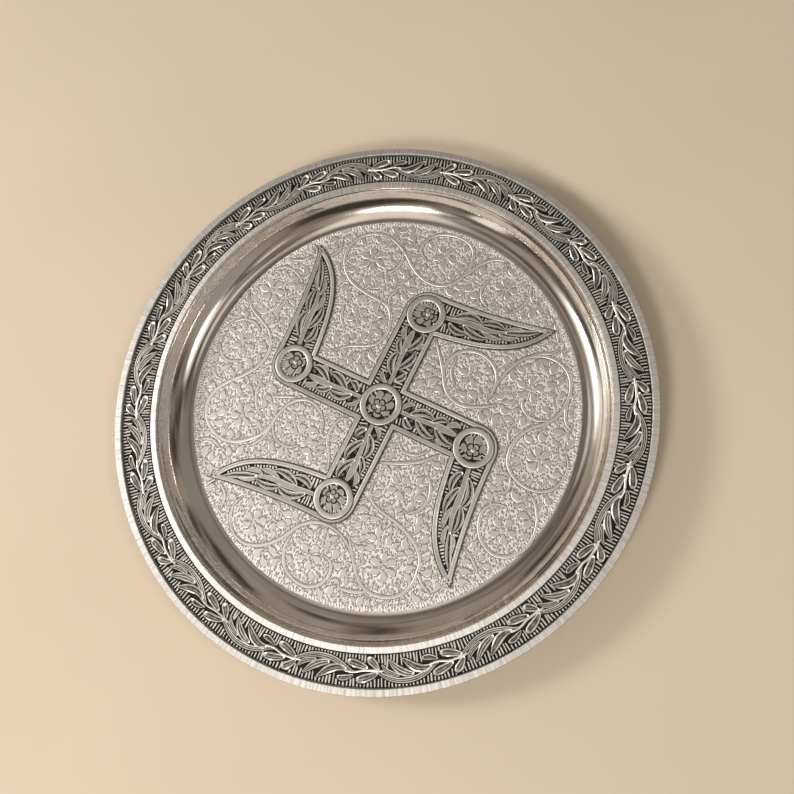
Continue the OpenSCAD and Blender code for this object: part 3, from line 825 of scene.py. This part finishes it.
# Painted shade: a dark strip, a little wider than each raised form on the floor and barely raised, laid round
# its foot.
painted_shade_line = dark_line_finish("painted_shade_line", (0.14, 0.13, 0.118, 1), (0.30, 0.28, 0.26, 1))
line_w = 0.36
line_relief = 0.015 * mm
stems, stem_shade_lines, stem_path = ([], []), ([], []), []
stem_w = [0.3] + [0.75] * 2 + [0.88] * 6 + [0.75] * 2 + [0.35]
for k, path in enumerate(long_stems + short_stems):
    share = 1.0 if path in long_stems else 0.85
    widths = [w * share for w in stem_w]
    raised(stems, path, widths, bevelled, scroll_relief * (1 - 0.06 * (k % 4)), on_floor, 1.1 * mm)
    # A strip of painted shade round the stem's foot.
    raised(stem_shade_lines, path, [w + line_w for w in widths], [(-1, 1), (1, 1)], line_relief, on_floor, 1.1 * mm)
    stem_path += [tuple(p / mm) for p in smooth_path(np.array(path) * mm, 1.5 * mm)]
for name, work, material in (("floor_stems", stems, frosted),
                             ("floor_stem_lines", stem_shade_lines, painted_shade_line)):
    made = mesh_object(name, *work, [material], sharp=20)
    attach(made, "root")
    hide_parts("floor_disc")


def motif_meshes(name, points, widths):
    """A small raised form, and the strip of painted shade round its foot, both to be set many times on the
    floor.
    """
    made = []
    for label, wider, section, height in (("", 0, level, scroll_relief),
                                          ("_line", line_w, [(-1, 1), (1, 1)], line_relief * 0.7)):
        work = ([], [])
        wide = [w + wider for w in widths]
        raised(work, points, wide, section, height, lambda x, y, h: (x, y, h), 1.5 * mm)
        motif = mesh_object(name + label, *work, [], sharp=20)
        motif.hide_render = True
        made.append(motif)
    return made


def scatter_tree():
    """One motif on each point, by the turn and the size that the point carries."""
    tree, given, output = new_tree("motif_on_points", {"Motif": "Object", "Material": "Material"})
    spots = node(tree, "GeometryNodeMeshToPoints", {0: given.outputs["Geometry"]})
    turn = node(tree, "GeometryNodeInputNamedAttribute", {"Name": "turn"}, data_type="FLOAT")
    size = node(tree, "GeometryNodeInputNamedAttribute", {"Name": "size"}, data_type="FLOAT")
    scale = node(tree, "ShaderNodeCombineXYZ", {0: size, 1: size, 2: 1.0})
    copies = node(tree, "GeometryNodeInstanceOnPoints", {
        "Points": spots, "Instance": shape_of(tree, given.outputs["Motif"]),
        "Rotation": turned_by(tree, turn), "Scale": scale})
    finish_tree(tree, copies, given.outputs["Material"], output)
    return tree


def spots_object(spots):
    """Bare points, each with a turn in degrees and a size, for a tree to set motifs on."""
    mesh = bpy.data.meshes.new("spots")
    mesh.from_pydata([(x * mm, y * mm, disc_top) for x, y, _, _ in spots], [], [])
    mesh.attributes.new("turn", "FLOAT", "POINT").data.foreach_set("value", [radians(s[2]) for s in spots])
    mesh.attributes.new("size", "FLOAT", "POINT").data.foreach_set("value", [s[3] for s in spots])
    return new_object("spots", mesh)


motif_on_points = scatter_tree()
petals = motif_meshes("petal", [(1.5, 0), (2.8, 0.2), (4.2, 0.2), (6.1, -0.2)], [0.6, 1.3, 2.1, 2.0])
commas = motif_meshes("comma", [(-2.1, 0), (-0.7, 0.2), (0.8, 0.1), (2.2, -0.7), (3.3, -2.0)],
                      [1.7, 2.0, 1.5, 0.6, 0.25])
hearts = motif_meshes("heart", [(-0.9, 0), (-0.3, 0), (0.3, 0), (0.9, 0)], [0.6, 1.1, 1.1, 0.6])
petal_spots = [(x, y, 25 + 37 * k + i * 360 / count, size)
               for k, (x, y, size, count) in enumerate(flowers) for i in range(count)]
heart_spots = [(x, y, 0, size) for x, y, size, _ in flowers]


# Sizes of the plaque, which the filling of the floor keeps clear of.
arm_reach = 54 * mm
corner_r = 12.7 * mm
arm_in = 9.4 * mm
blade_root = arm_reach - arm_in
blade_reach = 67 * mm
blade_rise = 7 * mm
blade_tip = np.array([blade_reach, arm_reach + corner_r + blade_rise])
blade_top_r = (blade_reach ** 2 + blade_rise ** 2) / (2 * blade_rise)


def plaque_quarter():
    """The outline of one arm, from its inner corner over the blade and the boss to the next inner corner."""
    steps = np.linspace(0, 1, 33)[:, None]
    root = np.array([arm_in, blade_root])
    reach = blade_tip - root
    c = [root + reach * s for s in ((0, 0), (0.42, 0.09), (0.83, 0.22), (1, 1))]
    inner = ((1 - steps) ** 3 * c[0] + 3 * (1 - steps) ** 2 * steps * c[1]
             + 3 * (1 - steps) * steps ** 2 * c[2] + steps ** 3 * c[3])
    over = np.linspace(blade_tip[0], 0, 33)[1:]
    top = [(x, arm_reach + corner_r + blade_top_r - (blade_top_r ** 2 - x ** 2) ** 0.5) for x in over]
    corner = arc(np.array([0, arm_reach]), corner_r, 90, 180, 16)[1:]
    shaft = [(arm_in, y) for y in np.linspace(corner_r, blade_root, 12)[:-1]]
    side = [(-corner_r, y) for y in np.linspace(arm_reach, arm_in, 16)[1:-1]]
    return np.array(shaft + [tuple(p) for p in inner] + top + [tuple(p) for p in corner] + side)


def turned_flat(points, quarter):
    """Points turned about the axis by quarters of a turn, anticlockwise."""
    c, s = [(1, 0), (0, 1), (-1, 0), (0, -1)][quarter % 4]
    return np.array([(c * x - s * y, s * x + c * y) for x, y in points])


plaque_outline = np.vstack([turned_flat(plaque_quarter(), k) for k in range(4)])


def inside(p, outline):
    """Whether a flat point is inside a closed outline."""
    x, y = outline[:, 0], outline[:, 1]
    nx, ny = np.roll(x, -1), np.roll(y, -1)
    crosses = (y > p[1]) != (ny > p[1])
    at = x + (p[1] - y) / np.where(crosses, ny - y, 1) * (nx - x)
    return bool(np.count_nonzero(crosses & (p[0] < at)) % 2)


def tree_of(points):
    found = KDTree(len(points))
    for i, p in enumerate(points):
        found.insert((p[0], p[1], 0), i)
    found.balance()
    return found


# The rest of the floor is filled with round leaves, each with its tail to the nearest stem and as far
# from its neighbours as its size asks. The rooms are in millimetres: what the edge, a stem and the plaque
# keep free, and what a flower and a leaf of size 1 take up.
edge_room = 3.2
stem_room = 1.4
plaque_room = 1.0
flower_room = 7.9
leaf_room = 2.1
near_stem = tree_of(stem_path)
near_plaque = tree_of(plaque_outline / mm)
draws = random.Random(11)
floor_edge = disc_r / mm - edge_room
leaf_spots = []
middles = [(x, y) for x, y, _, _ in flowers]
rooms = [flower_room * size for _, _, size, _ in flowers]
for size_low, size_high, tries in ((1.0, 1.2, 2500), (0.7, 0.95, 4500), (0.42, 0.6, 6000)):
    for _ in range(tries):
        x, y = draws.uniform(-floor_edge, floor_edge), draws.uniform(-floor_edge, floor_edge)
        size = draws.uniform(size_low, size_high)
        if hypot(x, y) > floor_edge - size:
            continue
        stem_at, _, to_stem = near_stem.find((x, y, 0))
        to_plaque = near_plaque.find((x, y, 0))[2]
        if to_stem < stem_room + 2.0 * size or to_plaque < plaque_room + 2.2 * size:
            continue
        gaps = np.hypot(np.array(middles)[:, 0] - x, np.array(middles)[:, 1] - y) - np.array(rooms)
        if gaps.min() < 1.9 * size or inside((x * mm, y * mm), plaque_outline):
            continue
        middles.append((x, y))
        rooms.append(leaf_room * size)
        way = np.degrees(np.arctan2(stem_at[1] - y, stem_at[0] - x)) + draws.uniform(-30, 60)
        leaf_spots.append((x, y, way, size))

for name, spots, motifs in (("floor_petals", petal_spots, petals), ("floor_leaves", leaf_spots, commas),
                            ("floor_hearts", heart_spots, hearts)):
    # Each motif comes with its strip of painted shade round its foot.
    for label, motif, material in (("", motifs[0], frosted), ("_lines", motifs[1], painted_shade_line)):
        made = grown(name + label, spots_object(spots), motif_on_points,
                     {"Motif": motif, "Material": material}, 20)
        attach(made, "root")
        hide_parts("floor_disc")

hatch_r = disc_r - 0.5 * mm
edge_hatch = grown("floor_edge_strokes", ring_path(hatch_r, disc_top, 1), strokes_across, {
    "Stroke": stroke, "Pitch": 1.5 * mm, "Length": 2.4 * mm, "Width": 0.7 * mm, "Height": 0.18 * mm,
    "Shortest": 0.55, "Gap": 0.3 * mm, "Seed": 8, "Material": frosted})
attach(edge_hatch, "root")
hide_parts("floor_disc")


# The swastik plaque
# A cast plaque soldered to the floor disc. A broad moulding follows its outline, and inside that a
# blackened ground is hatched square to the edge and carries leaf sprays up each arm and along each blade.

plaque_t = 0.5 * mm
plaque_ground = disc_top + plaque_t
moulding_w = 3 * mm
moulding_h = 0.8 * mm
leaf_relief = 0.6 * mm


def height_over_plaque(tree, place):
    return maths(tree, "SUBTRACT", height_of(tree, place), plaque_ground)


def punch_marks(tree, place):
    """Short worm-like marks between the leaves, as a share from 0 to 1."""
    return spread(tree, worm_cells(tree, place, 210, 5 * mm, 0.5, 680), 0.38, 0.24)


aged_plaque = aged_finish("aged_plaque", height_over_plaque, 0.56 * mm, (0.03, 0.027, 0.024, 1),
                          (0.50, 0.48, 0.46, 1), (0.93, 0.905, 0.875, 1), 0.44, punch_marks)


def moulding_finish():
    """The moulding, worn to a grey with dark lines left in its hollows."""
    material, tree, place = new_material("cast_moulding")
    mottle = noise(tree, place, 420, 4, 0.65)
    clouds = noise(tree, place, 60, 3)
    rubbed = maths(tree, "ADD", maths(tree, "DIVIDE", height_over_plaque(tree, place), moulding_h),
                   maths(tree, "MULTIPLY", maths(tree, "SUBTRACT", mottle, 0.5), 0.12))
    share = spread(tree, rubbed, 0.74, 0.96)
    worn = mixed(tree, spread(tree, clouds, 0.35, 0.7), (0.80, 0.77, 0.74, 1), (0.66, 0.635, 0.605, 1))
    dress(tree, mixed(tree, share, (0.15, 0.14, 0.13, 1), worn), spread(tree, share, 0, 1, 0.5, 0.4),
          bump(tree, mottle, 0.3, 0.05 * mm))
    return material


cast_moulding = moulding_finish()


def inset(outline, d):
    """A closed outline drawn in by a distance, with mitred corners."""
    before, after = np.roll(outline, 1, 0), np.roll(outline, -1, 0)
    a = outline - before
    b = after - outline
    a /= np.linalg.norm(a, axis=1)[:, None]
    b /= np.linalg.norm(b, axis=1)[:, None]
    na = np.stack([-a[:, 1], a[:, 0]], 1)
    nb = np.stack([-b[:, 1], b[:, 0]], 1)
    mitre = na + nb
    return outline + d * mitre * (2 / np.maximum((mitre * mitre).sum(1), 0.2))[:, None]


# Across the moulding: how far in from the outline, and how high over the plaque's ground.
moulding_section = [
    (0, -plaque_t), (0, 0.22 * mm), (0.1 * mm, 0.3 * mm), (0.55 * mm, 0.3 * mm), (0.66 * mm, 0.68 * mm),
    (0.85 * mm, moulding_h), (1.5 * mm, 0.78 * mm), (1.62 * mm, 0.68 * mm), (1.75 * mm, 0.68 * mm),
    (1.87 * mm, 0.76 * mm), (2.4 * mm, 0.76 * mm), (2.5 * mm, 0.72 * mm), (2.62 * mm, moulding_h),
    (2.84 * mm, 0.78 * mm), (2.95 * mm, 0.6 * mm), (moulding_w, 0)]
loops = [inset(plaque_outline, d) for d, _ in moulding_section]
count = len(plaque_outline)
plaque_verts = [(x, y, plaque_ground + h) for loop, (_, h) in zip(loops, moulding_section) for x, y in loop]
plaque_faces = row_faces(len(loops), count)
plaque_picks = [1] * len(plaque_faces) + [0, 0]
plaque_faces.append(tuple(range((len(loops) - 1) * count, len(loops) * count)))
plaque_faces.append(tuple(range(count))[::-1])
plaque = mesh_object("swastik_moulding", plaque_verts, plaque_faces, [aged_plaque, cast_moulding],
                     plaque_picks, 30)
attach(plaque, "root")
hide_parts("swastik_plaque")

# The spray of an arm grows from the middle boss, and the spray of a blade from the corner boss.
# Each part: its points on the arm that points up, its half widths, and its section.
arm_spray = [
    ([(-0.9, 10), (-1.0, 15), (-1.2, 20), (-1.7, 26), (-2.1, 32), (-2.2, 38), (-1.8, 44.4)],
     [1.0, 1.1, 1.1, 1.2, 1.4, 2.0, 1.7, 0.5], rimmed),
    ([(-1.6, 16.6), (-3.8, 19.2), (-5.5, 22.8), (-5.4, 26.6), (-4.0, 29.4)],
     [0.7, 1.9, 2.4, 1.8, 0.35], split),
    ([(-0.6, 20.6), (1.6, 23.4), (3.6, 26.6), (4.5, 30.2), (3.8, 33.4)], [0.7, 1.7, 2.2, 1.7, 0.35], split),
    ([(-2.6, 28.8), (-4.8, 30.8), (-6.4, 33.6), (-6.6, 37.0)], [0.7, 1.7, 1.7, 0.3], split),
    ([(-1.2, 31.4), (1.0, 34.0), (3.0, 37.0), (4.0, 40.6), (3.2, 43.8)], [0.7, 1.6, 2.1, 1.7, 0.35], split),
    ([(0.6, 14.8), (2.6, 15.8), (4.2, 17.8), (4.6, 20.8)], [0.7, 1.8, 1.8, 0.4], split),
    ([(-3.6, 36.6), (-5.4, 38.2), (-6.8, 40.6), (-6.6, 43.8)], [0.6, 1.5, 1.6, 0.35], rimmed),
    ([(-2.4, 11.6), (-4.6, 12.4), (-6.6, 14.4), (-7.2, 17.0)], [0.6, 1.3, 1.2, 0.3], rimmed),
    ([(4.2, 34.2), (5.3, 35.8), (5.9, 38.6)], [0.5, 1.0, 0.3], rimmed)]
blade_spray = [
    ([(8.8, 56.4), (14, 56.9), (20, 58.0), (26, 58.7), (33, 58.9), (39, 60.2), (44, 62.0)],
     [1.0, 1.2, 1.5, 1.8, 1.5, 1.1, 0.6], rimmed),
    ([(42.6, 61.5), (48, 63.6), (54, 66.2), (60, 69.6)], [0.9, 1.8, 1.6, 0.3], split),
    ([(14.6, 58.2), (18.2, 60.9), (22.4, 62.7), (26.8, 62.4), (30.4, 60.6)],
     [0.7, 1.8, 2.3, 1.7, 0.35], split),
    ([(13.4, 54.8), (15.6, 52.8), (18.8, 51.8), (22.4, 52.2), (25.2, 53.6)],
     [0.7, 1.7, 2.0, 1.4, 0.35], split),
    ([(20.8, 56.6), (24.4, 54.7), (28.6, 53.7), (33.0, 53.9), (36.0, 55.2)],
     [0.7, 1.7, 2.1, 1.4, 0.35], split),
    ([(31.2, 57.4), (34.6, 56.6), (38.4, 56.4), (42.6, 57.4)], [0.6, 1.3, 1.4, 0.35], rimmed),
    ([(28.6, 60.6), (32.0, 62.6), (35.8, 63.8), (39.6, 63.8), (42.6, 62.8)],
     [0.6, 1.5, 1.9, 1.4, 0.35], split),
    ([(43.0, 63.6), (46.0, 65.0), (49.0, 65.9), (52.0, 66.8)], [0.4, 1.1, 1.1, 0.3], rimmed),
    ([(40.4, 59.4), (43.4, 58.9), (46.8, 59.6), (50.0, 61.6)], [0.6, 1.2, 1.3, 0.3], rimmed)]
sprays = ([], [])
for quarter in range(4):
    def on_plaque(x, y, h):
        (x, y), = turned_flat([(x, y)], quarter)
        return (x, y, plaque_ground + h)

    for k, (points, widths, section) in enumerate(arm_spray + blade_spray):
        raised(sprays, points, widths, section, leaf_relief * (1 - 0.015 * (k % 4)), on_plaque, 0.6 * mm)
leaf_sprays = mesh_object("leaf_sprays", *sprays, [aged_plaque], sharp=20)
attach(leaf_sprays, "root")
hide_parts("swastik_plaque")

field = inset(plaque_outline, moulding_w + 0.55 * mm)
field_path = path_object([(x, y, plaque_ground) for x, y in field])
hatching = grown("plaque_hatching", field_path, strokes_across, {
    "Stroke": stroke, "Leaves": leaf_sprays, "Far Side": plaque, "Pitch": 1.7 * mm, "Length": 6.0 * mm,
    "Width": 1.0 * mm, "Height": 0.46 * mm, "Shortest": 0.65, "Gap": 0.4 * mm, "Seed": 5,
    "Material": aged_plaque})
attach(hatching, "root")
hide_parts("swastik_plaque")


# The five bosses
# Round bosses struck from thin sheet and soldered to the plaque, one where the arms cross and one at each
# corner, where its edge laps over the moulding. Each has a plain ring and a rose: wavy outer petals, a
# smaller cup of petals, and a bead.

boss_sheet = 0.4 * mm
boss_ground = plaque_ground + boss_sheet
centre_boss_r = 11.2 * mm
boss_ring_w = 3.2 * mm
boss_lap = 0.8 * mm
corner_boss_r = corner_r - moulding_w + boss_lap
solder_w = 0.4 * mm
rose_gap = 0.25 * mm
bead_share = 0.17
bead_foot = 0.6 * mm
bead_h = 0.4 * mm


def height_over_boss(tree, place):
    return maths(tree, "SUBTRACT", height_of(tree, place), boss_ground)


aged_boss = aged_finish("aged_boss", height_over_boss, 0.56 * mm, (0.04, 0.037, 0.033, 1),
                        (0.50, 0.48, 0.46, 1), (0.60, 0.58, 0.555, 1), 0.44)
solder_line = dark_line_finish("solder_line", (0.03, 0.027, 0.024, 1), (0.09, 0.084, 0.077, 1))


def rose(name, centre, reach, turn, count):
    """A rose with a count of outer petals and a cup two petals smaller, a little off the middle. Each petal
    has a rim round a lower field, with a cleft to the next and a groove round the cup."""
    steps = 168
    angles = np.arange(steps) * 2 * pi / steps
    lobes = [abs(np.sin(n * (angles - radians(turn)) / 2)) for n in (count, count - 2)]
    outer = reach * (0.7 + 0.24 * lobes[0] ** 0.7)
    cup = reach * (0.27 + 0.19 * lobes[1] ** 0.7)
    open_out, open_cup = (1 - 0.95 * np.clip(1.4 - lobe / 0.28, 0, 1) for lobe in lobes)
    rows = [(outer, -0.06, 1), (outer, 0, 1), (outer - 0.12 * mm, 0.6, open_out),
            (outer - 0.5 * mm, 0.6, open_out), (outer - 0.62 * mm, 0.36, open_out),
            (cup + 0.85 * mm, 0.4, open_out ** 0.4), (cup + 0.7 * mm, 0.02, 1), (cup + 0.12 * mm, 0.02, 1),
            (cup, 0.6, open_cup), (cup - 0.4 * mm, 0.6, open_cup), (cup - 0.5 * mm, 0.36, open_cup),
            (cup * 0.3, 0.3, open_cup ** 0.4)]
    off = 0.17 * reach * along(turn)
    verts = []
    for k, (r, h, share) in enumerate(rows):
        shift = off * (k > 4)
        x, y = centre[0] + shift[0] + r * np.cos(angles), centre[1] + shift[1] + r * np.sin(angles)
        verts.extend(zip(x, y, boss_ground + h * mm * share * np.ones(steps)))
    faces = row_faces(len(rows), steps)
    faces += [tuple(range(steps))[::-1], tuple(range((len(rows) - 1) * steps, len(rows) * steps))]
    return mesh_object(name, verts, faces, [aged_boss], sharp=25), centre + off


def boss(node_name, centre, r, turn, count):
    """One boss: its ring and ground, with a dark line of solder round them, its rose with a count of petals,
    and its bead. The ring's heights are in millimetres over the plaque's ground."""
    inner = r - boss_ring_w
    skirt = r + solder_w
    ring = [(0, 0), (skirt, 0), (skirt, 0.82), (r, 0.85), (r - 0.2 * mm, 1.1), (r - 0.55 * mm, 1.19),
            (r - 1.2 * mm, 1.2), (inner + 0.75 * mm, 1.2), (inner + 0.3 * mm, 1.14), (inner, 0.9),
            (inner, 0.4), (0, 0.4)]
    ring = [(a, plaque_ground + b * mm) for a, b in ring]
    body = turned(node_name + "_ring", ring, 96, [aged_boss, solder_line], [0, 1, 1] + [0] * 8)
    bead_r = inner * bead_share
    dome = [(bead_r * x, boss_ground + bead_foot + bead_h * z) for x, z in map(along, np.linspace(0, 90, 7))]
    dome = [(bead_r, boss_ground)] + dome[:-1] + [(0, boss_ground + bead_foot + bead_h)]
    bead = turned(node_name + "_bead", dome, 24, [aged_boss])
    flower, middle = rose(node_name + "_flower", np.array(centre), inner - rose_gap, turn, count)
    for piece, at in ((body, centre), (bead, middle)):
        for v in piece.data.vertices:
            v.co.x += at[0]
            v.co.y += at[1]
    for piece in (body, bead, flower):
        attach(piece, "root")
        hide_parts(node_name)


boss("centre_boss", (0, 0), centre_boss_r, 250, 7)
boss("top_boss", (0, arm_reach), corner_boss_r, 20, 7)
boss("right_boss", (arm_reach, 0), corner_boss_r, 290, 6)
boss("bottom_boss", (0, -arm_reach), corner_boss_r, 140, 7)
boss("left_boss", (-arm_reach, 0), corner_boss_r, 60, 6)

for motif in (stroke, *petals, *commas, *hearts):
    bpy.data.objects.remove(motif)


# The setting
# A plain pale floor, a plain room and three soft lamps. The camera looks down on the plate from a little
# to one side.

camera_data = bpy.data.cameras.new("camera")
camera_data.lens = 36.27
camera_data.shift_x = -0.044
camera_data.shift_y = -0.0586
camera = new_object("camera", camera_data)
camera.location = (117.7 * mm, -35.9 * mm, 404.8 * mm)
camera.rotation_euler = Euler([radians(a) for a in (15.466, 8.807, 26.41)])
bpy.context.scene.camera = camera
turn = camera.rotation_euler.to_matrix()
to_right, to_top, to_eye = (turn @ Vector(v) for v in ((1, 0, 0), (0, 1, 0), (0, 0, 1)))

floor_half = 3.0
floor_z = -0.1 * mm
floor_mesh = bpy.data.meshes.new("pale_floor")
corners = [(x * floor_half, y * floor_half, floor_z) for x, y in ((-1, -1), (1, -1), (1, 1), (-1, 1))]
floor_mesh.from_pydata(corners, [], [(0, 1, 2, 3)])
floor = new_object("pale_floor", floor_mesh)
plaster, tree, place = new_material("warm_plaster", 0)
dress(tree, mixed(tree, noise(tree, place, 5, 3), (0.72, 0.61, 0.475, 1), (0.63, 0.53, 0.40, 1)), 0.8)
floor.data.materials.append(plaster)


def lamp(name, right, top, eye, size, power, colour):
    """A soft round lamp, placed by the picture's own right, top and depth, that looks at the plate."""
    data = bpy.data.lights.new(name, "AREA")
    data.shape = "DISK"
    data.size = size
    data.energy = power
    data.color = colour
    made = new_object(name, data)
    made.location = to_right * right + to_top * top + to_eye * eye
    made.rotation_euler = made.location.to_track_quat("Z", "Y").to_euler()


lamp("left_lamp", -1.25, 0.3, 0.55, 0.36, 9.5, (1, 0.96, 0.92))
lamp("middle_lamp", -0.5, -0.45, 1.1, 0.3, 6.5, (1, 0.955, 0.91))
lamp("right_lamp", 0.55, 0.15, 1.15, 0.26, 2, (1, 0.98, 0.95))

world = bpy.data.worlds.new("room")
world.use_nodes = True
bpy.context.scene.world = world
tree = world.node_tree
direction = node(tree, "ShaderNodeTexCoord").outputs["Generated"]


def facing(axis):
    """How far a direction leans along an axis, from -1 to 1."""
    return vectors(tree, "DOT_PRODUCT", direction, tuple(axis)).outputs["Value"]


rightward, upward = facing(to_right), facing(to_top)
folds = noise(tree, vectors(tree, "MULTIPLY", direction, (3, 3, 1.2)), 1, 3)
room = mixed(tree, spread(tree, folds, 0.41, 0.58), (0.06, 0.05, 0.04, 1), (0.34, 0.295, 0.245, 1))
# Pale and dark things in the room, which the well mirrors: how far right and up in the picture they lie,
# their half sizes, and their colour.
for right, up, half_w, half_h, colour in (
        (0.62, -0.35, 0.42, 0.42, (0.36, 0.33, 0.30, 1)), (0.1, 0.62, 0.6, 0.22, (0.27, 0.25, 0.22, 1)),
        (-0.1, -0.88, 0.5, 0.32, (0.05, 0.043, 0.036, 1)), (-0.58, 0.24, 0.09, 0.12, (0.08, 0.07, 0.06, 1)),
        (-0.34, -0.08, 0.16, 0.5, (0.95, 0.88, 0.79, 1)), (0.40, 0.12, 0.26, 0.2, (0.9, 0.86, 0.8, 1)),
        (0.12, -0.2, 0.07, 0.16, (0.9, 0.8, 0.68, 1)), (-0.86, 0.22, 0.16, 0.24, (1.0, 0.96, 0.9, 1)),
        (-0.74, -0.56, 0.08, 0.16, (1.1, 1.05, 0.98, 1)), (-0.46, -0.56, 0.05, 0.12, (0.8, 0.72, 0.62, 1)),
        (0.32, -0.22, 0.06, 0.3, (0.10, 0.09, 0.08, 1)), (-0.6, 0.86, 0.3, 0.14, (0.35, 0.31, 0.26, 1)),
        (-0.1, 0.3, 0.16, 0.09, (0.8, 0.74, 0.67, 1)), (-0.57, 0.44, 0.12, 0.05, (0.8, 0.74, 0.66, 1))):
    away = node(tree, "ShaderNodeCombineXYZ", {
        0: maths(tree, "DIVIDE", maths(tree, "SUBTRACT", rightward, right), half_w),
        1: maths(tree, "DIVIDE", maths(tree, "SUBTRACT", upward, up), half_h)})
    far = vectors(tree, "LENGTH", away).outputs["Value"]
    edge = spread(tree, maths(tree, "ADD", far, maths(tree, "MULTIPLY", folds, 0.8)), 1.05, 1.4, 1, 0)
    room = mixed(tree, edge, room, colour)
# A camera that looks past the floor sees a plain wall.
room = mixed(tree, node(tree, "ShaderNodeLightPath").outputs["Is Camera Ray"], room, (0.56, 0.47, 0.36, 1))
tree.links.new(room, tree.nodes["Background"].inputs["Color"])
tree.nodes["Background"].inputs["Strength"].default_value = 1.0

bpy.context.scene.view_settings.view_transform = "Standard"
